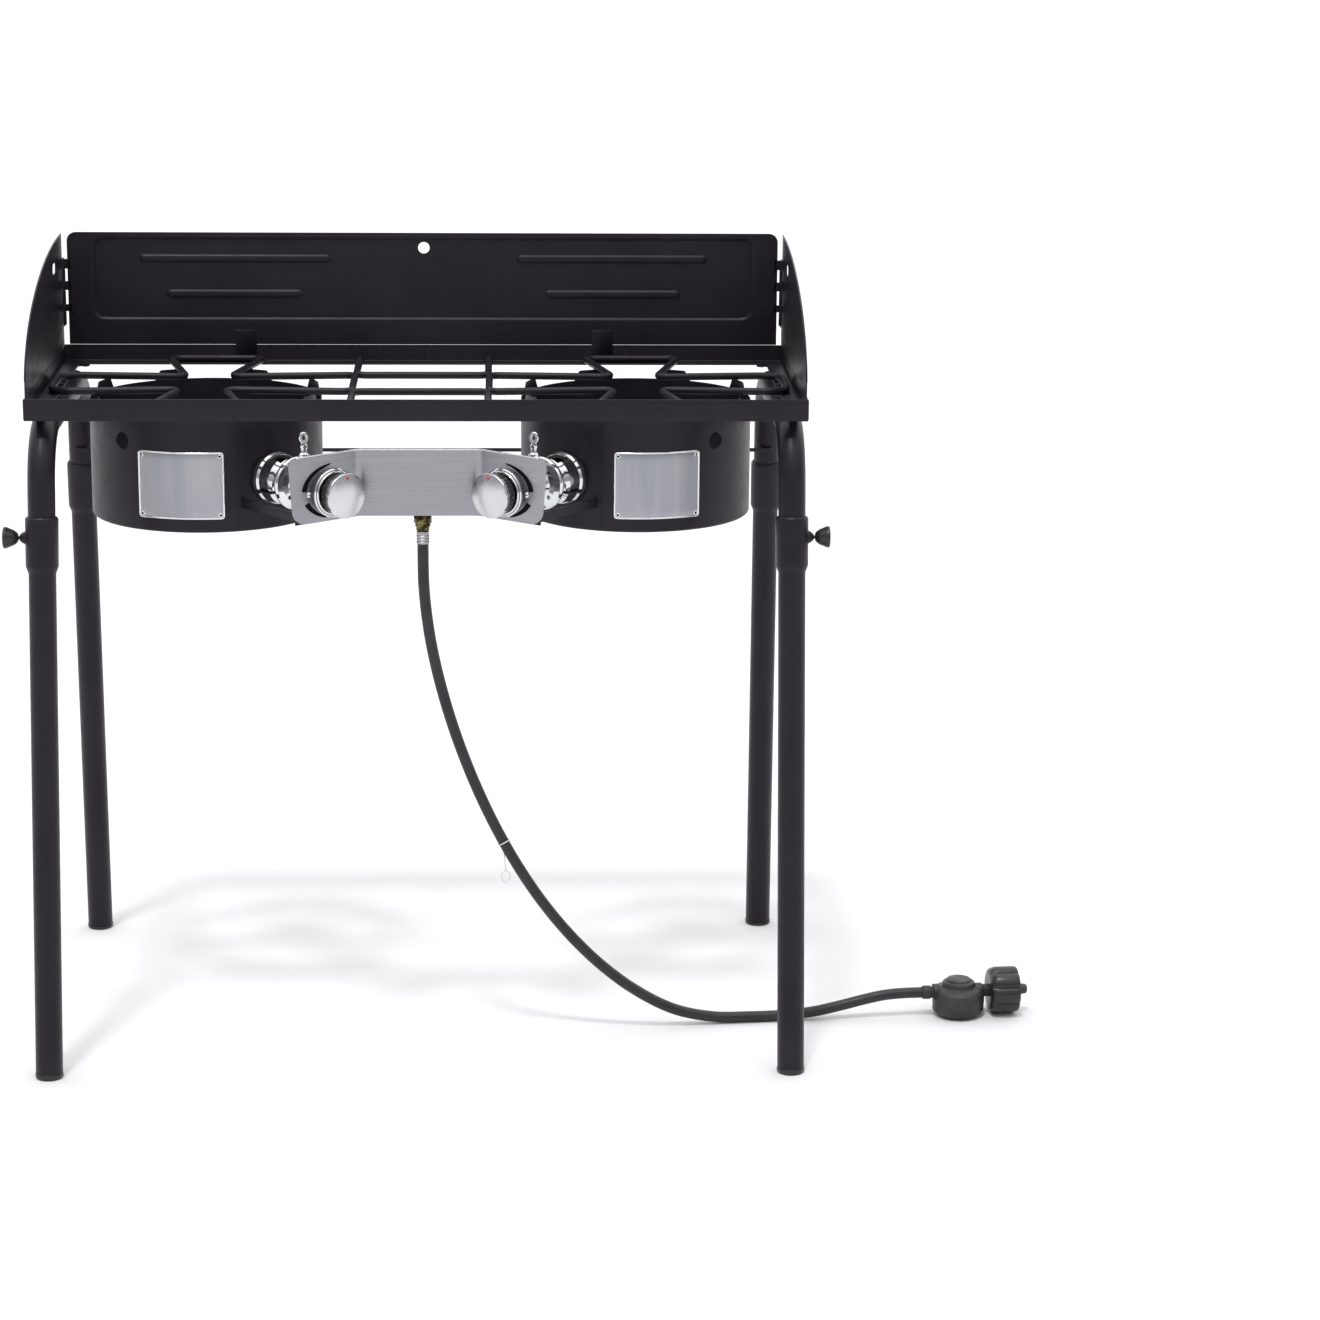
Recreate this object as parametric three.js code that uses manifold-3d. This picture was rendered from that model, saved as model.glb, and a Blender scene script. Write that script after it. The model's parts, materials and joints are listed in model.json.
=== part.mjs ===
// Two-burner propane camp stove on four splayed legs, with a folding windscreen.
// Millimetres, +Z up, the front faces -Y. The origin is on the floor, midway between the four feet.
import * as THREE from "three";
import { mergeVertices } from "three/addons/utils/BufferGeometryUtils.js";
import Module from "manifold-3d";

const wasm = await Module();
wasm.setup();

// ---- Driving dimensions ----
const GAP = 0.3; // clearance between neighbours that touch

// The rails are upright strips with a ledge turned inwards, a short skirt's height above their bottom.
const TRAY = { width: 813, depth: 356, top: 715, rail: 23, skirt: 3, ledge: 20, sheet: 2 };
const RAIL_BOTTOM = TRAY.top - TRAY.rail;
const LEDGE_BOTTOM = RAIL_BOTTOM + TRAY.skirt;
const LEDGE_TOP = LEDGE_BOTTOM + TRAY.sheet;

const ROD = 4; // radius of the grate rods
const ROD_Z = LEDGE_TOP + GAP + ROD;

const BURNER_X = 233; // each burner's distance from the middle
const BURNER_Z = 617; // height of the gas tubes, valves and knobs
const DRUM = { radius: 125, bottom: 562, rim: 686, sheet: 1.5, lip: 12, tab: 12, tabs: 8 };
const FEED_ANGLE = THREE.MathUtils.degToRad(39); // each gas tube points this far inward of straight ahead

const TUBE = { radius: 14.3, wall: 1.5 }; // leg tube and the bent support tube
const FOOT = { x: 394, y: 251.5 }; // where a leg's centre line meets the floor
// Where a leg's centre line meets the level run of the support tube.
const CORNER = { x: 390, y: 174, z: LEDGE_BOTTOM - GAP - TUBE.radius };
const SUPPORT_BEND = 62;
// Distances up a leg's axis: the end of the support tube, the leg's widened top and its clamping screw.
const SOCKET_END = 542;
const BELL = { start: 533, end: 592, radius: 16.9, bore: 15.3, taper: 6 };
const SCREW_AT = 570;
const legShift = (f) => (f < 0 ? 4.5 : -9); // the front joints sit a little higher than the rear ones
const CAP = { radius: 15, seat: 5, plugTop: 22 };

const SCREEN = { top: 842, halfWidth: 399, sheet: 1.2, front: 176.2 };
const SCREEN_FOOT = TRAY.top + 0.6;
const PIN = { x: 404.2, y: 171.5, radius: 1.5, knuckle: 3.2, bottom: 736, top: 814 };
const SIDE = { front: -176, rear: 166, frontHeight: 8 };

const PANEL = { front: -159, halfFlat: 63, wing: 90, bottom: 588, top: 659, sheet: 1.2, knobAt: 32 };
// Distance along a burner's feed axis, from the burner's centre, to the front of the panel's wing.
const WING_T =
  (BURNER_X - PANEL.halfFlat - PANEL.knobAt * Math.cos(FEED_ANGLE)) / Math.sin(FEED_ANGLE);

const HOSE_RADIUS = 6;
const HOSE_TOP = 556;

// ---- Materials ----
const material = (color, roughness, metalness) =>
  new THREE.MeshStandardMaterial({ color, roughness, metalness });
const POWDER = material(0x2b292d, 0.55, 0.2);
const BRUSHED = material(0xb4b6b8, 0.35, 0.9);
const BADGE = material(0xc3c8cc, 0.3, 0.9);
const CHROME = material(0xd8dadc, 0.12, 1);
const BRASS = material(0x8a6c3a, 0.4, 0.9);
const PLASTIC = material(0x1c1c1e, 0.45, 0);
const RUBBER = material(0x232325, 0.75, 0);
const CAST = material(0x55565a, 0.7, 0.6);
const STEEL = material(0x9a9da1, 0.35, 0.9);

// ---- Solids ----
// Keeps only the shared corner points, and turns the faces outwards.
function clean(geometry) {
  const bare = geometry.clone();
  bare.deleteAttribute("normal");
  bare.deleteAttribute("uv");
  const merged = mergeVertices(bare, 1e-3);
  if (volumeOf(merged) < 0) {
    const index = merged.index.array;
    for (let i = 0; i < index.length; i += 3) {
      [index[i + 1], index[i + 2]] = [index[i + 2], index[i + 1]];
    }
  }
  return merged;
}

function volumeOf(geometry) {
  const position = geometry.attributes.position;
  const index = geometry.index.array;
  const [a, b, c] = [new THREE.Vector3(), new THREE.Vector3(), new THREE.Vector3()];
  let six = 0;
  for (let i = 0; i < index.length; i += 3) {
    a.fromBufferAttribute(position, index[i]);
    b.fromBufferAttribute(position, index[i + 1]);
    c.fromBufferAttribute(position, index[i + 2]);
    six += a.dot(b.cross(c));
  }
  return six / 6;
}

function toSolid(geometry) {
  const shape = clean(geometry);
  const mesh = new wasm.Mesh({
    numProp: 3,
    vertProperties: new Float32Array(shape.attributes.position.array),
    triVerts: new Uint32Array(shape.index.array),
  });
  return new wasm.Manifold(mesh);
}

function toGeometry(solid) {
  const mesh = solid.getMesh();
  const geometry = new THREE.BufferGeometry();
  geometry.setAttribute("position", new THREE.BufferAttribute(mesh.vertProperties, 3));
  geometry.setIndex(new THREE.BufferAttribute(mesh.triVerts, 1));
  return geometry;
}

const join = (...pieces) => toGeometry(pieces.map(toSolid).reduce((a, b) => a.add(b)));
const cut = (piece, ...tools) =>
  toGeometry(tools.map(toSolid).reduce((a, b) => a.subtract(b), toSolid(piece)));

// ---- Shapes ----
const vec = (x, y, z) => new THREE.Vector3(x, y, z);
const UP = vec(0, 0, 1);

function block(x0, x1, y0, y1, z0, z1) {
  const box = new THREE.BoxGeometry(Math.abs(x1 - x0), Math.abs(y1 - y0), Math.abs(z1 - z0));
  return box.translate((x0 + x1) / 2, (y0 + y1) / 2, (z0 + z1) / 2);
}

// A solid turned about +Z from [radius, height] points that start and end on the axis or close a ring.
function turned(profile, sides = 24) {
  const points = profile.map(([radius, height]) => new THREE.Vector2(radius, height));
  return new THREE.LatheGeometry(points, sides).rotateX(Math.PI / 2);
}

const rod = (radius, from, to, sides = 16) =>
  turned([[0, from], [radius, from], [radius, to], [0, to]], sides);

const ring = (bore, radius, from, to, sides = 24) =>
  turned([[bore, from], [radius, from], [radius, to], [bore, to], [bore, from]], sides);

// Moves a shape built along +Z onto an axis; its local +Y ends up nearest the given side direction.
function onAxis(geometry, origin, axis, side = UP) {
  const z = axis.clone().normalize();
  const x = side.clone().cross(z).normalize();
  const y = z.clone().cross(x);
  const frame = new THREE.Matrix4().makeBasis(x, y, z).setPosition(origin);
  return geometry.clone().applyMatrix4(frame);
}

// A polyline with rounded corners, sampled only where it bends.
class BentPath extends THREE.Curve {
  constructor(corners, bend, stepsPerBend) {
    super();
    this.stops = [corners[0].clone()];
    for (let i = 1; i < corners.length - 1; i++) {
      this.addBend(corners[i - 1], corners[i], corners[i + 1], bend, stepsPerBend);
    }
    this.stops.push(corners[corners.length - 1].clone());
    this.steps = this.stops.length - 1;
  }
  addBend(before, corner, after, bend, steps) {
    const back = before.clone().sub(corner).normalize();
    const ahead = after.clone().sub(corner).normalize();
    const half = back.angleTo(ahead) / 2;
    const reach = bend / Math.tan(half);
    const middle = back.clone().add(ahead).normalize();
    const centre = corner.clone().addScaledVector(middle, bend / Math.sin(half));
    const start = corner.clone().addScaledVector(back, reach).sub(centre);
    const end = corner.clone().addScaledVector(ahead, reach).sub(centre);
    const turn = start.angleTo(end);
    for (let k = 0; k <= steps; k++) {
      const a = Math.sin((1 - k / steps) * turn) / Math.sin(turn);
      const b = Math.sin((k / steps) * turn) / Math.sin(turn);
      this.stops.push(centre.clone().addScaledVector(start, a).addScaledVector(end, b));
    }
  }
  getPoint(u) {
    return this.stops[Math.round(u * this.steps)].clone();
  }
  getPointAt(u) {
    return this.getPoint(u);
  }
  getTangentAt(u) {
    const i = Math.round(u * this.steps);
    const before = this.stops[Math.max(i - 1, 0)];
    const after = this.stops[Math.min(i + 1, this.steps)];
    const here = this.stops[i];
    const tangent = vec(0, 0, 0);
    if (i > 0) tangent.add(here.clone().sub(before).normalize());
    if (i < this.steps) tangent.add(after.clone().sub(here).normalize());
    return tangent.normalize();
  }
}

function section(radius, sides, bore = 0) {
  const around = (r) =>
    Array.from({ length: sides }, (_, i) => {
      const angle = (2 * Math.PI * (i + 0.5)) / sides;
      return new THREE.Vector2(r * Math.cos(angle), r * Math.sin(angle));
    });
  const shape = new THREE.Shape(around(radius));
  if (bore > 0) shape.holes.push(new THREE.Path(around(bore).reverse()));
  return shape;
}

function bentRod(corners, bend, radius, { sides = 10, bore = 0, stepsPerBend = 5 } = {}) {
  const path = new BentPath(corners, bend, stepsPerBend);
  return new THREE.ExtrudeGeometry(section(radius, sides, bore), {
    steps: path.steps,
    extrudePath: path,
    bevelEnabled: false,
  });
}

// A flat plate from an outline in its own plane, with its thickness along +Z.
function plate(outline, thickness) {
  return new THREE.ExtrudeGeometry(outline, {
    depth: thickness,
    bevelEnabled: false,
    curveSegments: 5,
  });
}

const group = new THREE.Group();
function add(name, geometry, look) {
  const mesh = new THREE.Mesh(clean(geometry), look);
  mesh.name = name;
  group.add(mesh);
}

const SIDES = [
  { name: "left", s: -1 },
  { name: "right", s: 1 },
];
const CORNERS = [
  { name: "front_left", s: -1, f: -1 },
  { name: "front_right", s: 1, f: -1 },
  { name: "rear_left", s: -1, f: 1 },
  { name: "rear_right", s: 1, f: 1 },
];

// ---- Tray: four rails, mitred at the corners, each with its ledge turned inwards ----
function rail(length) {
  const { sheet, skirt, ledge } = TRAY;
  const angle = new THREE.Shape([
    new THREE.Vector2(0, 0),
    new THREE.Vector2(sheet, 0),
    new THREE.Vector2(sheet, skirt),
    new THREE.Vector2(ledge, skirt),
    new THREE.Vector2(ledge, skirt + sheet),
    new THREE.Vector2(sheet, skirt + sheet),
    new THREE.Vector2(sheet, TRAY.rail),
    new THREE.Vector2(0, TRAY.rail),
  ]);
  const bar = new THREE.ExtrudeGeometry(angle, { depth: length, bevelEnabled: false });
  // Local x runs inwards, local y up and local z along the rail. Each end is cut at 45 degrees.
  bar.translate(0, 0, -length / 2);
  const corner = length / 2 - GAP;
  const beyond = 50;
  const mitres = [-1, 1].map((end) => {
    const waste = new THREE.Shape([
      new THREE.Vector2(-1, end * (corner + 1)),
      new THREE.Vector2(-1, end * (corner + beyond)),
      new THREE.Vector2(beyond, end * (corner + beyond)),
      new THREE.Vector2(beyond, end * (corner - beyond)),
    ]);
    const tool = new THREE.ExtrudeGeometry(waste, { depth: 60, bevelEnabled: false });
    return tool.rotateX(Math.PI / 2).translate(0, 40, 0);
  });
  return cut(bar, ...mitres);
}

function placeRail(length, inward, outerFace) {
  const along = inward.clone().cross(UP);
  const frame = new THREE.Matrix4().makeBasis(inward, UP, along);
  frame.setPosition(outerFace.clone().setZ(RAIL_BOTTOM));
  return rail(length).applyMatrix4(frame);
}

add("rail_front", placeRail(TRAY.width, vec(0, 1, 0), vec(0, -TRAY.depth / 2, 0)), POWDER);
add("rail_rear", placeRail(TRAY.width, vec(0, -1, 0), vec(0, TRAY.depth / 2, 0)), POWDER);
for (const { name, s } of SIDES) {
  const face = vec((s * TRAY.width) / 2, 0, 0);
  add(`rail_${name}`, placeRail(TRAY.depth, vec(-s, 0, 0), face), POWDER);
}

// ---- Supports: a bent tube under each end of the tray; its two ends are the sockets of the legs ----
const legFoot = (s, f) => vec(s * FOOT.x, f * FOOT.y, 0);
const legAxis = (s, f) =>
  vec(s * (CORNER.x - FOOT.x), f * (CORNER.y - FOOT.y), CORNER.z).normalize();
const alongLeg = (s, f, distance) => legFoot(s, f).addScaledVector(legAxis(s, f), distance);

for (const { name, s } of SIDES) {
  const corners = [
    alongLeg(s, -1, SOCKET_END + legShift(-1)),
    vec(s * CORNER.x, -CORNER.y, CORNER.z),
    vec(s * CORNER.x, CORNER.y, CORNER.z),
    alongLeg(s, 1, SOCKET_END + legShift(1)),
  ];
  const bore = TUBE.radius - TUBE.wall;
  const tube = bentRod(corners, SUPPORT_BEND, TUBE.radius, { sides: 12, bore, stepsPerBend: 4 });
  add(`support_${name}`, tube, POWDER);
}

const BRACE = { radius: 2.2, z: 596 };
const braceEnd = alongLeg(1, 1, BRACE.z / legAxis(1, 1).z);
const braceY = braceEnd.y - TUBE.radius / legAxis(1, 1).z - BRACE.radius - 2 * GAP;
const brace = rod(BRACE.radius, -braceEnd.x, braceEnd.x, 8);
add("brace_rod", onAxis(brace, vec(0, braceY, BRACE.z), vec(1, 0, 0)), POWDER);

// ---- Legs, foot caps and clamping screws ----
// The screw points away from the stove: sideways on the front legs, rearwards on the rear legs.
const screwSide = (s, f) => (f < 0 ? vec(s, 0, 0) : vec(0, 1, 0));

function screwFrame(s, f) {
  const axis = legAxis(s, f);
  const out = screwSide(s, f);
  return out.addScaledVector(axis, -out.dot(axis)).normalize();
}

for (const { name, s, f } of CORNERS) {
  const axis = legAxis(s, f);
  const foot = legFoot(s, f);
  const bore = TUBE.radius - TUBE.wall;
  const bellStart = BELL.start + legShift(f);
  const bellEnd = BELL.end + legShift(f);
  const tube = onAxis(
    turned(
      [
        [bore, CAP.seat],
        [TUBE.radius, CAP.seat],
        [TUBE.radius, bellStart],
        [BELL.radius, bellStart + BELL.taper],
        [BELL.radius, bellEnd],
        [BELL.bore, bellEnd],
        [BELL.bore, bellStart + BELL.taper + 1],
        [bore, bellStart + 1],
        [bore, CAP.seat],
      ],
      12,
    ),
    foot,
    axis,
  );
  const screwOut = screwFrame(s, f);
  const screwBase = alongLeg(s, f, SCREW_AT + legShift(f));
  const boss = turned([[0, 15.6], [7.5, 15.6], [7, 17.5], [3.6, 23.2], [0, 23.2]], 12);
  const bellSpace = rod(BELL.bore + 0.2, bellStart + BELL.taper + 2, bellEnd - 1, 12);
  const hollowBoss = cut(onAxis(boss, screwBase, screwOut), onAxis(bellSpace, foot, axis));
  const thread = onAxis(rod(2.5, 10, 30, 12), screwBase, screwOut);
  add(`leg_${name}`, cut(join(tube, hollowBoss), thread), POWDER);

  // The cap is a disc as wide as the tube, with a plug that fills the tube's end.
  const plugRadius = bore - 2 * GAP;
  const plug = turned(
    [
      [0, -6],
      [CAP.radius - 1.5, -6],
      [CAP.radius - 1.5, 0],
      [CAP.radius, 2],
      [CAP.radius, CAP.seat - GAP],
      [plugRadius, CAP.seat - GAP],
      [plugRadius, CAP.plugTop],
      [0, CAP.plugTop],
    ],
    12,
  );
  const below = block(foot.x - 40, foot.x + 40, foot.y - 40, foot.y + 40, -30, 0);
  add(`foot_cap_${name}`, cut(onAxis(plug, foot, axis), below), PLASTIC);

  const knob = [
    [0, TUBE.radius + GAP],
    [2, TUBE.radius + GAP],
    [2, 24.2],
    [4.8, 25.5],
    [7.8, 29],
    [9.8, 33.5],
    [11.4, 37.3],
    [11.2, 39.4],
    [10, 40],
    [0, 40],
  ];
  add(`leg_screw_${name}`, onAxis(turned(knob, 12), screwBase, screwOut), PLASTIC);
}

// ---- Grate: a closed four-armed loop of rod over each burner, and two U rods between them ----
const GRATE = {
  reach: 165, // from the middle line to the front and rear bars
  armEnd: 53, // half width of the front and rear arms at their ends
  armIn: 24, // and where they meet the side arms
  crossIn: 42, // half width of the side arms where they meet the front and rear arms
  sideEnd: 52, // and at their ends
  sideReach: 395, // from the stove's middle to the outer side bar
  innerX: 73.5, // and to the inner side bar
};
const LOOP_BEND = 10;

// Corner points of a loop over the burner on side s. It starts and ends in the middle of the rear bar.
function loopCorners(s) {
  const centre = s * BURNER_X;
  const at = (dx, y) => vec(centre + dx, y, ROD_Z);
  const outer = s * GRATE.sideReach - centre;
  const inner = s * GRATE.innerX - centre;
  const quarter = (side, end) => [
    at(side * GRATE.armEnd, end * GRATE.reach),
    at(side * GRATE.armIn, end * GRATE.crossIn),
  ];
  const arm = (x, end) => at(x, end * GRATE.sideEnd);
  return [
    at(-s * 0.2, GRATE.reach),
    ...quarter(-s, 1),
    arm(inner, 1),
    arm(inner, -1),
    ...quarter(-s, -1).reverse(),
    ...quarter(s, -1),
    arm(outer, -1),
    arm(outer, 1),
    ...quarter(s, 1).reverse(),
    at(s * 0.2, GRATE.reach),
  ];
}

const GRATE_STEPS = { sides: 6, stepsPerBend: 3 };
for (const { name, s } of SIDES) {
  add(`grate_loop_${name}`, bentRod(loopCorners(s), LOOP_BEND, ROD, GRATE_STEPS), POWDER);
}

const MIDDLE = { x: 72.5, bar: 52, bend: 11 };
for (const [name, end] of [["front", -1], ["rear", 1]]) {
  const corners = [
    vec(-MIDDLE.x, end * GRATE.reach, ROD_Z),
    vec(-MIDDLE.x, end * MIDDLE.bar, ROD_Z),
    vec(MIDDLE.x, end * MIDDLE.bar, ROD_Z),
    vec(MIDDLE.x, end * GRATE.reach, ROD_Z),
  ];
  add(`grate_bar_${name}`, bentRod(corners, MIDDLE.bend, ROD, GRATE_STEPS), POWDER);
}

// ---- Burner axis: distances run from the burner's centre towards the knob ----
const feedAxis = (s) => vec(-s * Math.sin(FEED_ANGLE), -Math.cos(FEED_ANGLE), 0);
const feedOrigin = (s) => vec(s * BURNER_X, 0, BURNER_Z);
const onFeed = (geometry, s) => onAxis(geometry, feedOrigin(s), feedAxis(s));

// ---- Drums: a sheet cylinder under each loop, with tabs that rise to the rods ----
const VENT = { angle: THREE.MathUtils.degToRad(41), z: 656, radius: 9.5 };
const FEED_HOLE = 26.5;

// A wedge of a ring, between two angles, from one height to another.
function wedge(inner, outer, from, to, z0, z1) {
  const shape = new THREE.Shape();
  shape.absarc(0, 0, outer, from, to, false);
  shape.absarc(0, 0, inner, to, from, true);
  const body = new THREE.ExtrudeGeometry(shape, {
    depth: z1 - z0,
    bevelEnabled: false,
    curveSegments: 4,
  });
  return body.translate(0, 0, z0);
}

for (const { name, s } of SIDES) {
  const { radius, bottom, rim, sheet, lip, tab, tabs } = DRUM;
  const top = ROD_Z - ROD - GAP;
  const shell = turned(
    [
      [radius - lip, bottom],
      [radius, bottom],
      [radius, top],
      [radius - sheet, top],
      [radius - sheet, bottom + sheet],
      [radius - lip, bottom + sheet],
      [radius - lip, bottom],
    ],
    28,
  );
  const pitch = (2 * Math.PI) / tabs;
  const halfTab = THREE.MathUtils.degToRad(tab / 2);
  const halfGap = pitch / 2 - halfTab;
  const gaps = Array.from({ length: tabs }, (_, k) => {
    const middle = k * pitch;
    return wedge(radius - 8, radius + 8, middle - halfGap, middle + halfGap, rim, top + 5);
  });
  const drum = cut(shell, ...gaps).translate(s * BURNER_X, 0, 0);
  const ventAxis = vec(s * Math.sin(VENT.angle), -Math.cos(VENT.angle), 0);
  const vent = onAxis(rod(VENT.radius, 100, 140, 12), vec(s * BURNER_X, 0, VENT.z), ventAxis);
  const feed = onFeed(rod(FEED_HOLE, 90, 150, 16), s);
  add(`drum_${name}`, cut(drum, vent, feed), POWDER);
}

// ---- Badge plates: plain curved plates held by four rivets ----
const BADGE_PLATE = { turn: 9, half: 21.5, z0: 577, z1: 649 }; // angles in degrees
for (const { name, s } of SIDES) {
  const inner = DRUM.radius + GAP;
  const { z0, z1 } = BADGE_PLATE;
  const half = THREE.MathUtils.degToRad(BADGE_PLATE.half);
  const front = THREE.MathUtils.degToRad(s * BADGE_PLATE.turn - 90);
  const sheet = wedge(inner, inner + 1, front - half, front + half, z0, z1);
  const inset = 5;
  const rivets = [];
  for (const end of [-1, 1]) {
    for (const z of [z0 + inset, z1 - inset]) {
      const angle = front + end * (half - inset / inner);
      const head = turned([[0, 0.2], [2.4, 0.2], [2, 2], [0, 2.4]], 8).translate(0, 0, inner);
      rivets.push(onAxis(head, vec(0, 0, z), vec(Math.cos(angle), Math.sin(angle), 0)));
    }
  }
  add(`badge_plate_${name}`, join(sheet, ...rivets).translate(s * BURNER_X, 0, 0), BADGE);
}

const AIR = { from: 136, to: 155 }; // the air windows in each gas tube and its shutter

// ---- Burners: a cast head on a gas tube, on a strap across the drum ----
const HEAD = { z: 664, radius: 52 };
const BELL_MOUTH = { from: 116, to: 160, radius: 25.6, bore: 22.5 };
for (const { name, s } of SIDES) {
  const head = turned(
    [
      [0, BURNER_Z - 22],
      [22, BURNER_Z - 20],
      [26, BURNER_Z],
      [30, HEAD.z - 22],
      [HEAD.radius, HEAD.z - 12],
      [HEAD.radius, HEAD.z - 3],
      [HEAD.radius - 5, HEAD.z],
      [0, HEAD.z],
    ],
    16,
  ).translate(s * BURNER_X, 0, 0);
  const { from, to, radius, bore } = BELL_MOUTH;
  const neck = turned(
    [
      [0, 5],
      [17, 5],
      [17, from - 26],
      [radius, from - 4],
      [radius, to],
      [bore, to],
      [bore, from],
      [11, from - 24],
      [11, 60],
      [0, 60],
    ],
    12,
  );
  const windows = [0, Math.PI].map((turn) => airWindow(turn, AIR.from, AIR.to));
  add(`burner_${name}`, join(head, onFeed(cut(neck, ...windows), s)), CAST);

  const strapZ = DRUM.bottom + DRUM.sheet + GAP;
  const reach = DRUM.radius - DRUM.sheet - 3;
  const across = block(s * BURNER_X - reach, s * BURNER_X + reach, -14, 14, strapZ, strapZ + 3);
  const post = rod(9, strapZ, BURNER_Z - 22 - GAP, 12).translate(s * BURNER_X, 0, 0);
  add(`burner_strap_${name}`, join(across, post), POWDER);
}

// The tool that opens an air window in a tube on the feed axis, at the top or the bottom.
function airWindow(turn, from, to) {
  const slot = wedge(15, 40, Math.PI / 2 - 0.55, Math.PI / 2 + 0.55, from, to);
  return slot.rotateZ(turn);
}

// ---- Air shutters: a chromed cup that turns on the burner's mouth, with a loop-headed screw ----
const SHUTTER = { from: 128, flange: 170, to: 187, radius: 28.4, bore: 26.2, neck: 13, neckBore: 8.2 };
const LOOP_SCREW = { at: 178, top: 676, tip: 7.4 };
for (const { name, s } of SIDES) {
  const { from, flange, to, radius, bore, neck, neckBore } = SHUTTER;
  const cup = turned(
    [
      [bore, from],
      [radius, from],
      [radius, flange - 4],
      [radius - 3, flange],
      [neck, flange],
      [neck, to],
      [neckBore, to],
      [neckBore, flange - 2],
      [bore, flange - 2],
      [bore, from],
    ],
    20,
  );
  const windows = [0, Math.PI].map((turn) => airWindow(turn, AIR.from, AIR.to));
  const screwHole = rod(2.2, 4, 40, 8).rotateX(-Math.PI / 2).translate(0, 0, LOOP_SCREW.at);
  add(`air_shutter_${name}`, onFeed(cut(cup, ...windows, screwHole), s), CHROME);

  const place = feedOrigin(s).addScaledVector(feedAxis(s), LOOP_SCREW.at);
  const shaft = rod(1.8, BURNER_Z + LOOP_SCREW.tip, LOOP_SCREW.top - 18, 8);
  const collar = rod(4, BURNER_Z + neck + GAP, BURNER_Z + neck + 3, 10);
  const loop = new THREE.TorusGeometry(4.6, 1.3, 5, 10).scale(1, 1.55, 1);
  loop.rotateX(Math.PI / 2).translate(0, 0, LOOP_SCREW.top - 10.5);
  const screw = join(shaft, collar, loop).translate(place.x, place.y, 0);
  add(`shutter_screw_${name}`, screw, CHROME);
}

// ---- Control panel: a brushed sheet with two wings that turn forward, square to the feed axes ----
function panelPlan() {
  const { front, halfFlat, wing, sheet } = PANEL;
  const tipX = halfFlat + wing * Math.cos(FEED_ANGLE);
  const tipY = front - wing * Math.sin(FEED_ANGLE);
  const bends = [
    vec(-tipX, tipY, 0),
    vec(-halfFlat, front, 0),
    vec(halfFlat, front, 0),
    vec(tipX, tipY, 0),
  ];
  const faceLine = new BentPath(bends, 12, 5).stops;
  const backLine = faceLine.map((point, i) => {
    const before = faceLine[Math.max(i - 1, 0)];
    const after = faceLine[Math.min(i + 1, faceLine.length - 1)];
    const along = after.clone().sub(before).normalize();
    return vec(point.x - along.y * sheet, point.y + along.x * sheet, 0);
  });
  const around = [...faceLine, ...backLine.reverse()];
  return new THREE.Shape(around.map((point) => new THREE.Vector2(point.x, point.y)));
}

// What is cut away round a wing's outer end, in the plane of the wing: rounded corners and a slanted edge.
function wingTrim(s) {
  const reach = PANEL.wing - PANEL.knobAt;
  const bottom = PANEL.bottom - BURNER_Z;
  const top = PANEL.top - BURNER_Z;
  const corner = 12;
  const slant = 7;
  const outside = new THREE.Shape([
    new THREE.Vector2(20, bottom - 20),
    new THREE.Vector2(reach + 30, bottom - 20),
    new THREE.Vector2(reach + 30, top + 20),
    new THREE.Vector2(20, top + 20),
  ]);
  const kept = new THREE.Path();
  kept.moveTo(10, bottom - 1);
  kept.lineTo(reach - slant - corner, bottom - 1);
  kept.lineTo(reach - slant - corner, bottom);
  kept.quadraticCurveTo(reach - slant, bottom, reach - slant + 1, bottom + corner);
  kept.lineTo(reach - 1, top - corner);
  kept.quadraticCurveTo(reach, top, reach - corner, top);
  kept.lineTo(reach - corner, top + 1);
  kept.lineTo(10, top + 1);
  const whole = plate(outside, 30);
  const inside = plate(new THREE.Shape(kept.getPoints(5)), 40).translate(0, 0, -5);
  const trim = cut(whole, inside).translate(0, 0, WING_T - 15);
  return onFeed(s > 0 ? trim : trim.scale(-1, 1, 1), s);
}

const panelSheet = plate(panelPlan(), PANEL.top - PANEL.bottom).translate(0, 0, PANEL.bottom);
const stemHoles = SIDES.map(({ s }) => onFeed(rod(6.5, WING_T - 10, WING_T + 10, 12), s));
add("control_panel", cut(panelSheet, ...SIDES.map(({ s }) => wingTrim(s)), ...stemHoles), BRUSHED);

// ---- Panel brackets: an arm from each drum to the outer end of its wing, below the air shutter ----
for (const { name, s } of SIDES) {
  const wingBack = WING_T - PANEL.sheet - GAP;
  const side = s * 36;
  const low = -29;
  const arm = block(side, side + s * 3, low, low + 10, 117, wingBack);
  const tab = block(side, side + s * 12, low, 10, wingBack - 2, wingBack);
  const shape = onFeed(join(arm, tab), s);
  const drumSkin = rod(DRUM.radius + GAP, 500, 700, 28).translate(s * BURNER_X, 0, 0);
  add(`panel_bracket_${name}`, cut(shape, drumSkin), POWDER);
}

// ---- Gas train: inlet, manifold pipe, valves with their stems, knobs and bezels ----
const MANIFOLD = { y: -148, radius: 7, half: 92 };
const INLET_X = 3.6;
const pipe = onAxis(
  rod(MANIFOLD.radius, -MANIFOLD.half, MANIFOLD.half, 16),
  vec(0, MANIFOLD.y, BURNER_Z),
  vec(1, 0, 0),
);
const FITTING_TOP = 590;
const drop = rod(8.6, FITTING_TOP + GAP, BURNER_Z, 12).translate(INLET_X, MANIFOLD.y, 0);
add("manifold_pipe", join(pipe, drop), POWDER);

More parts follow.
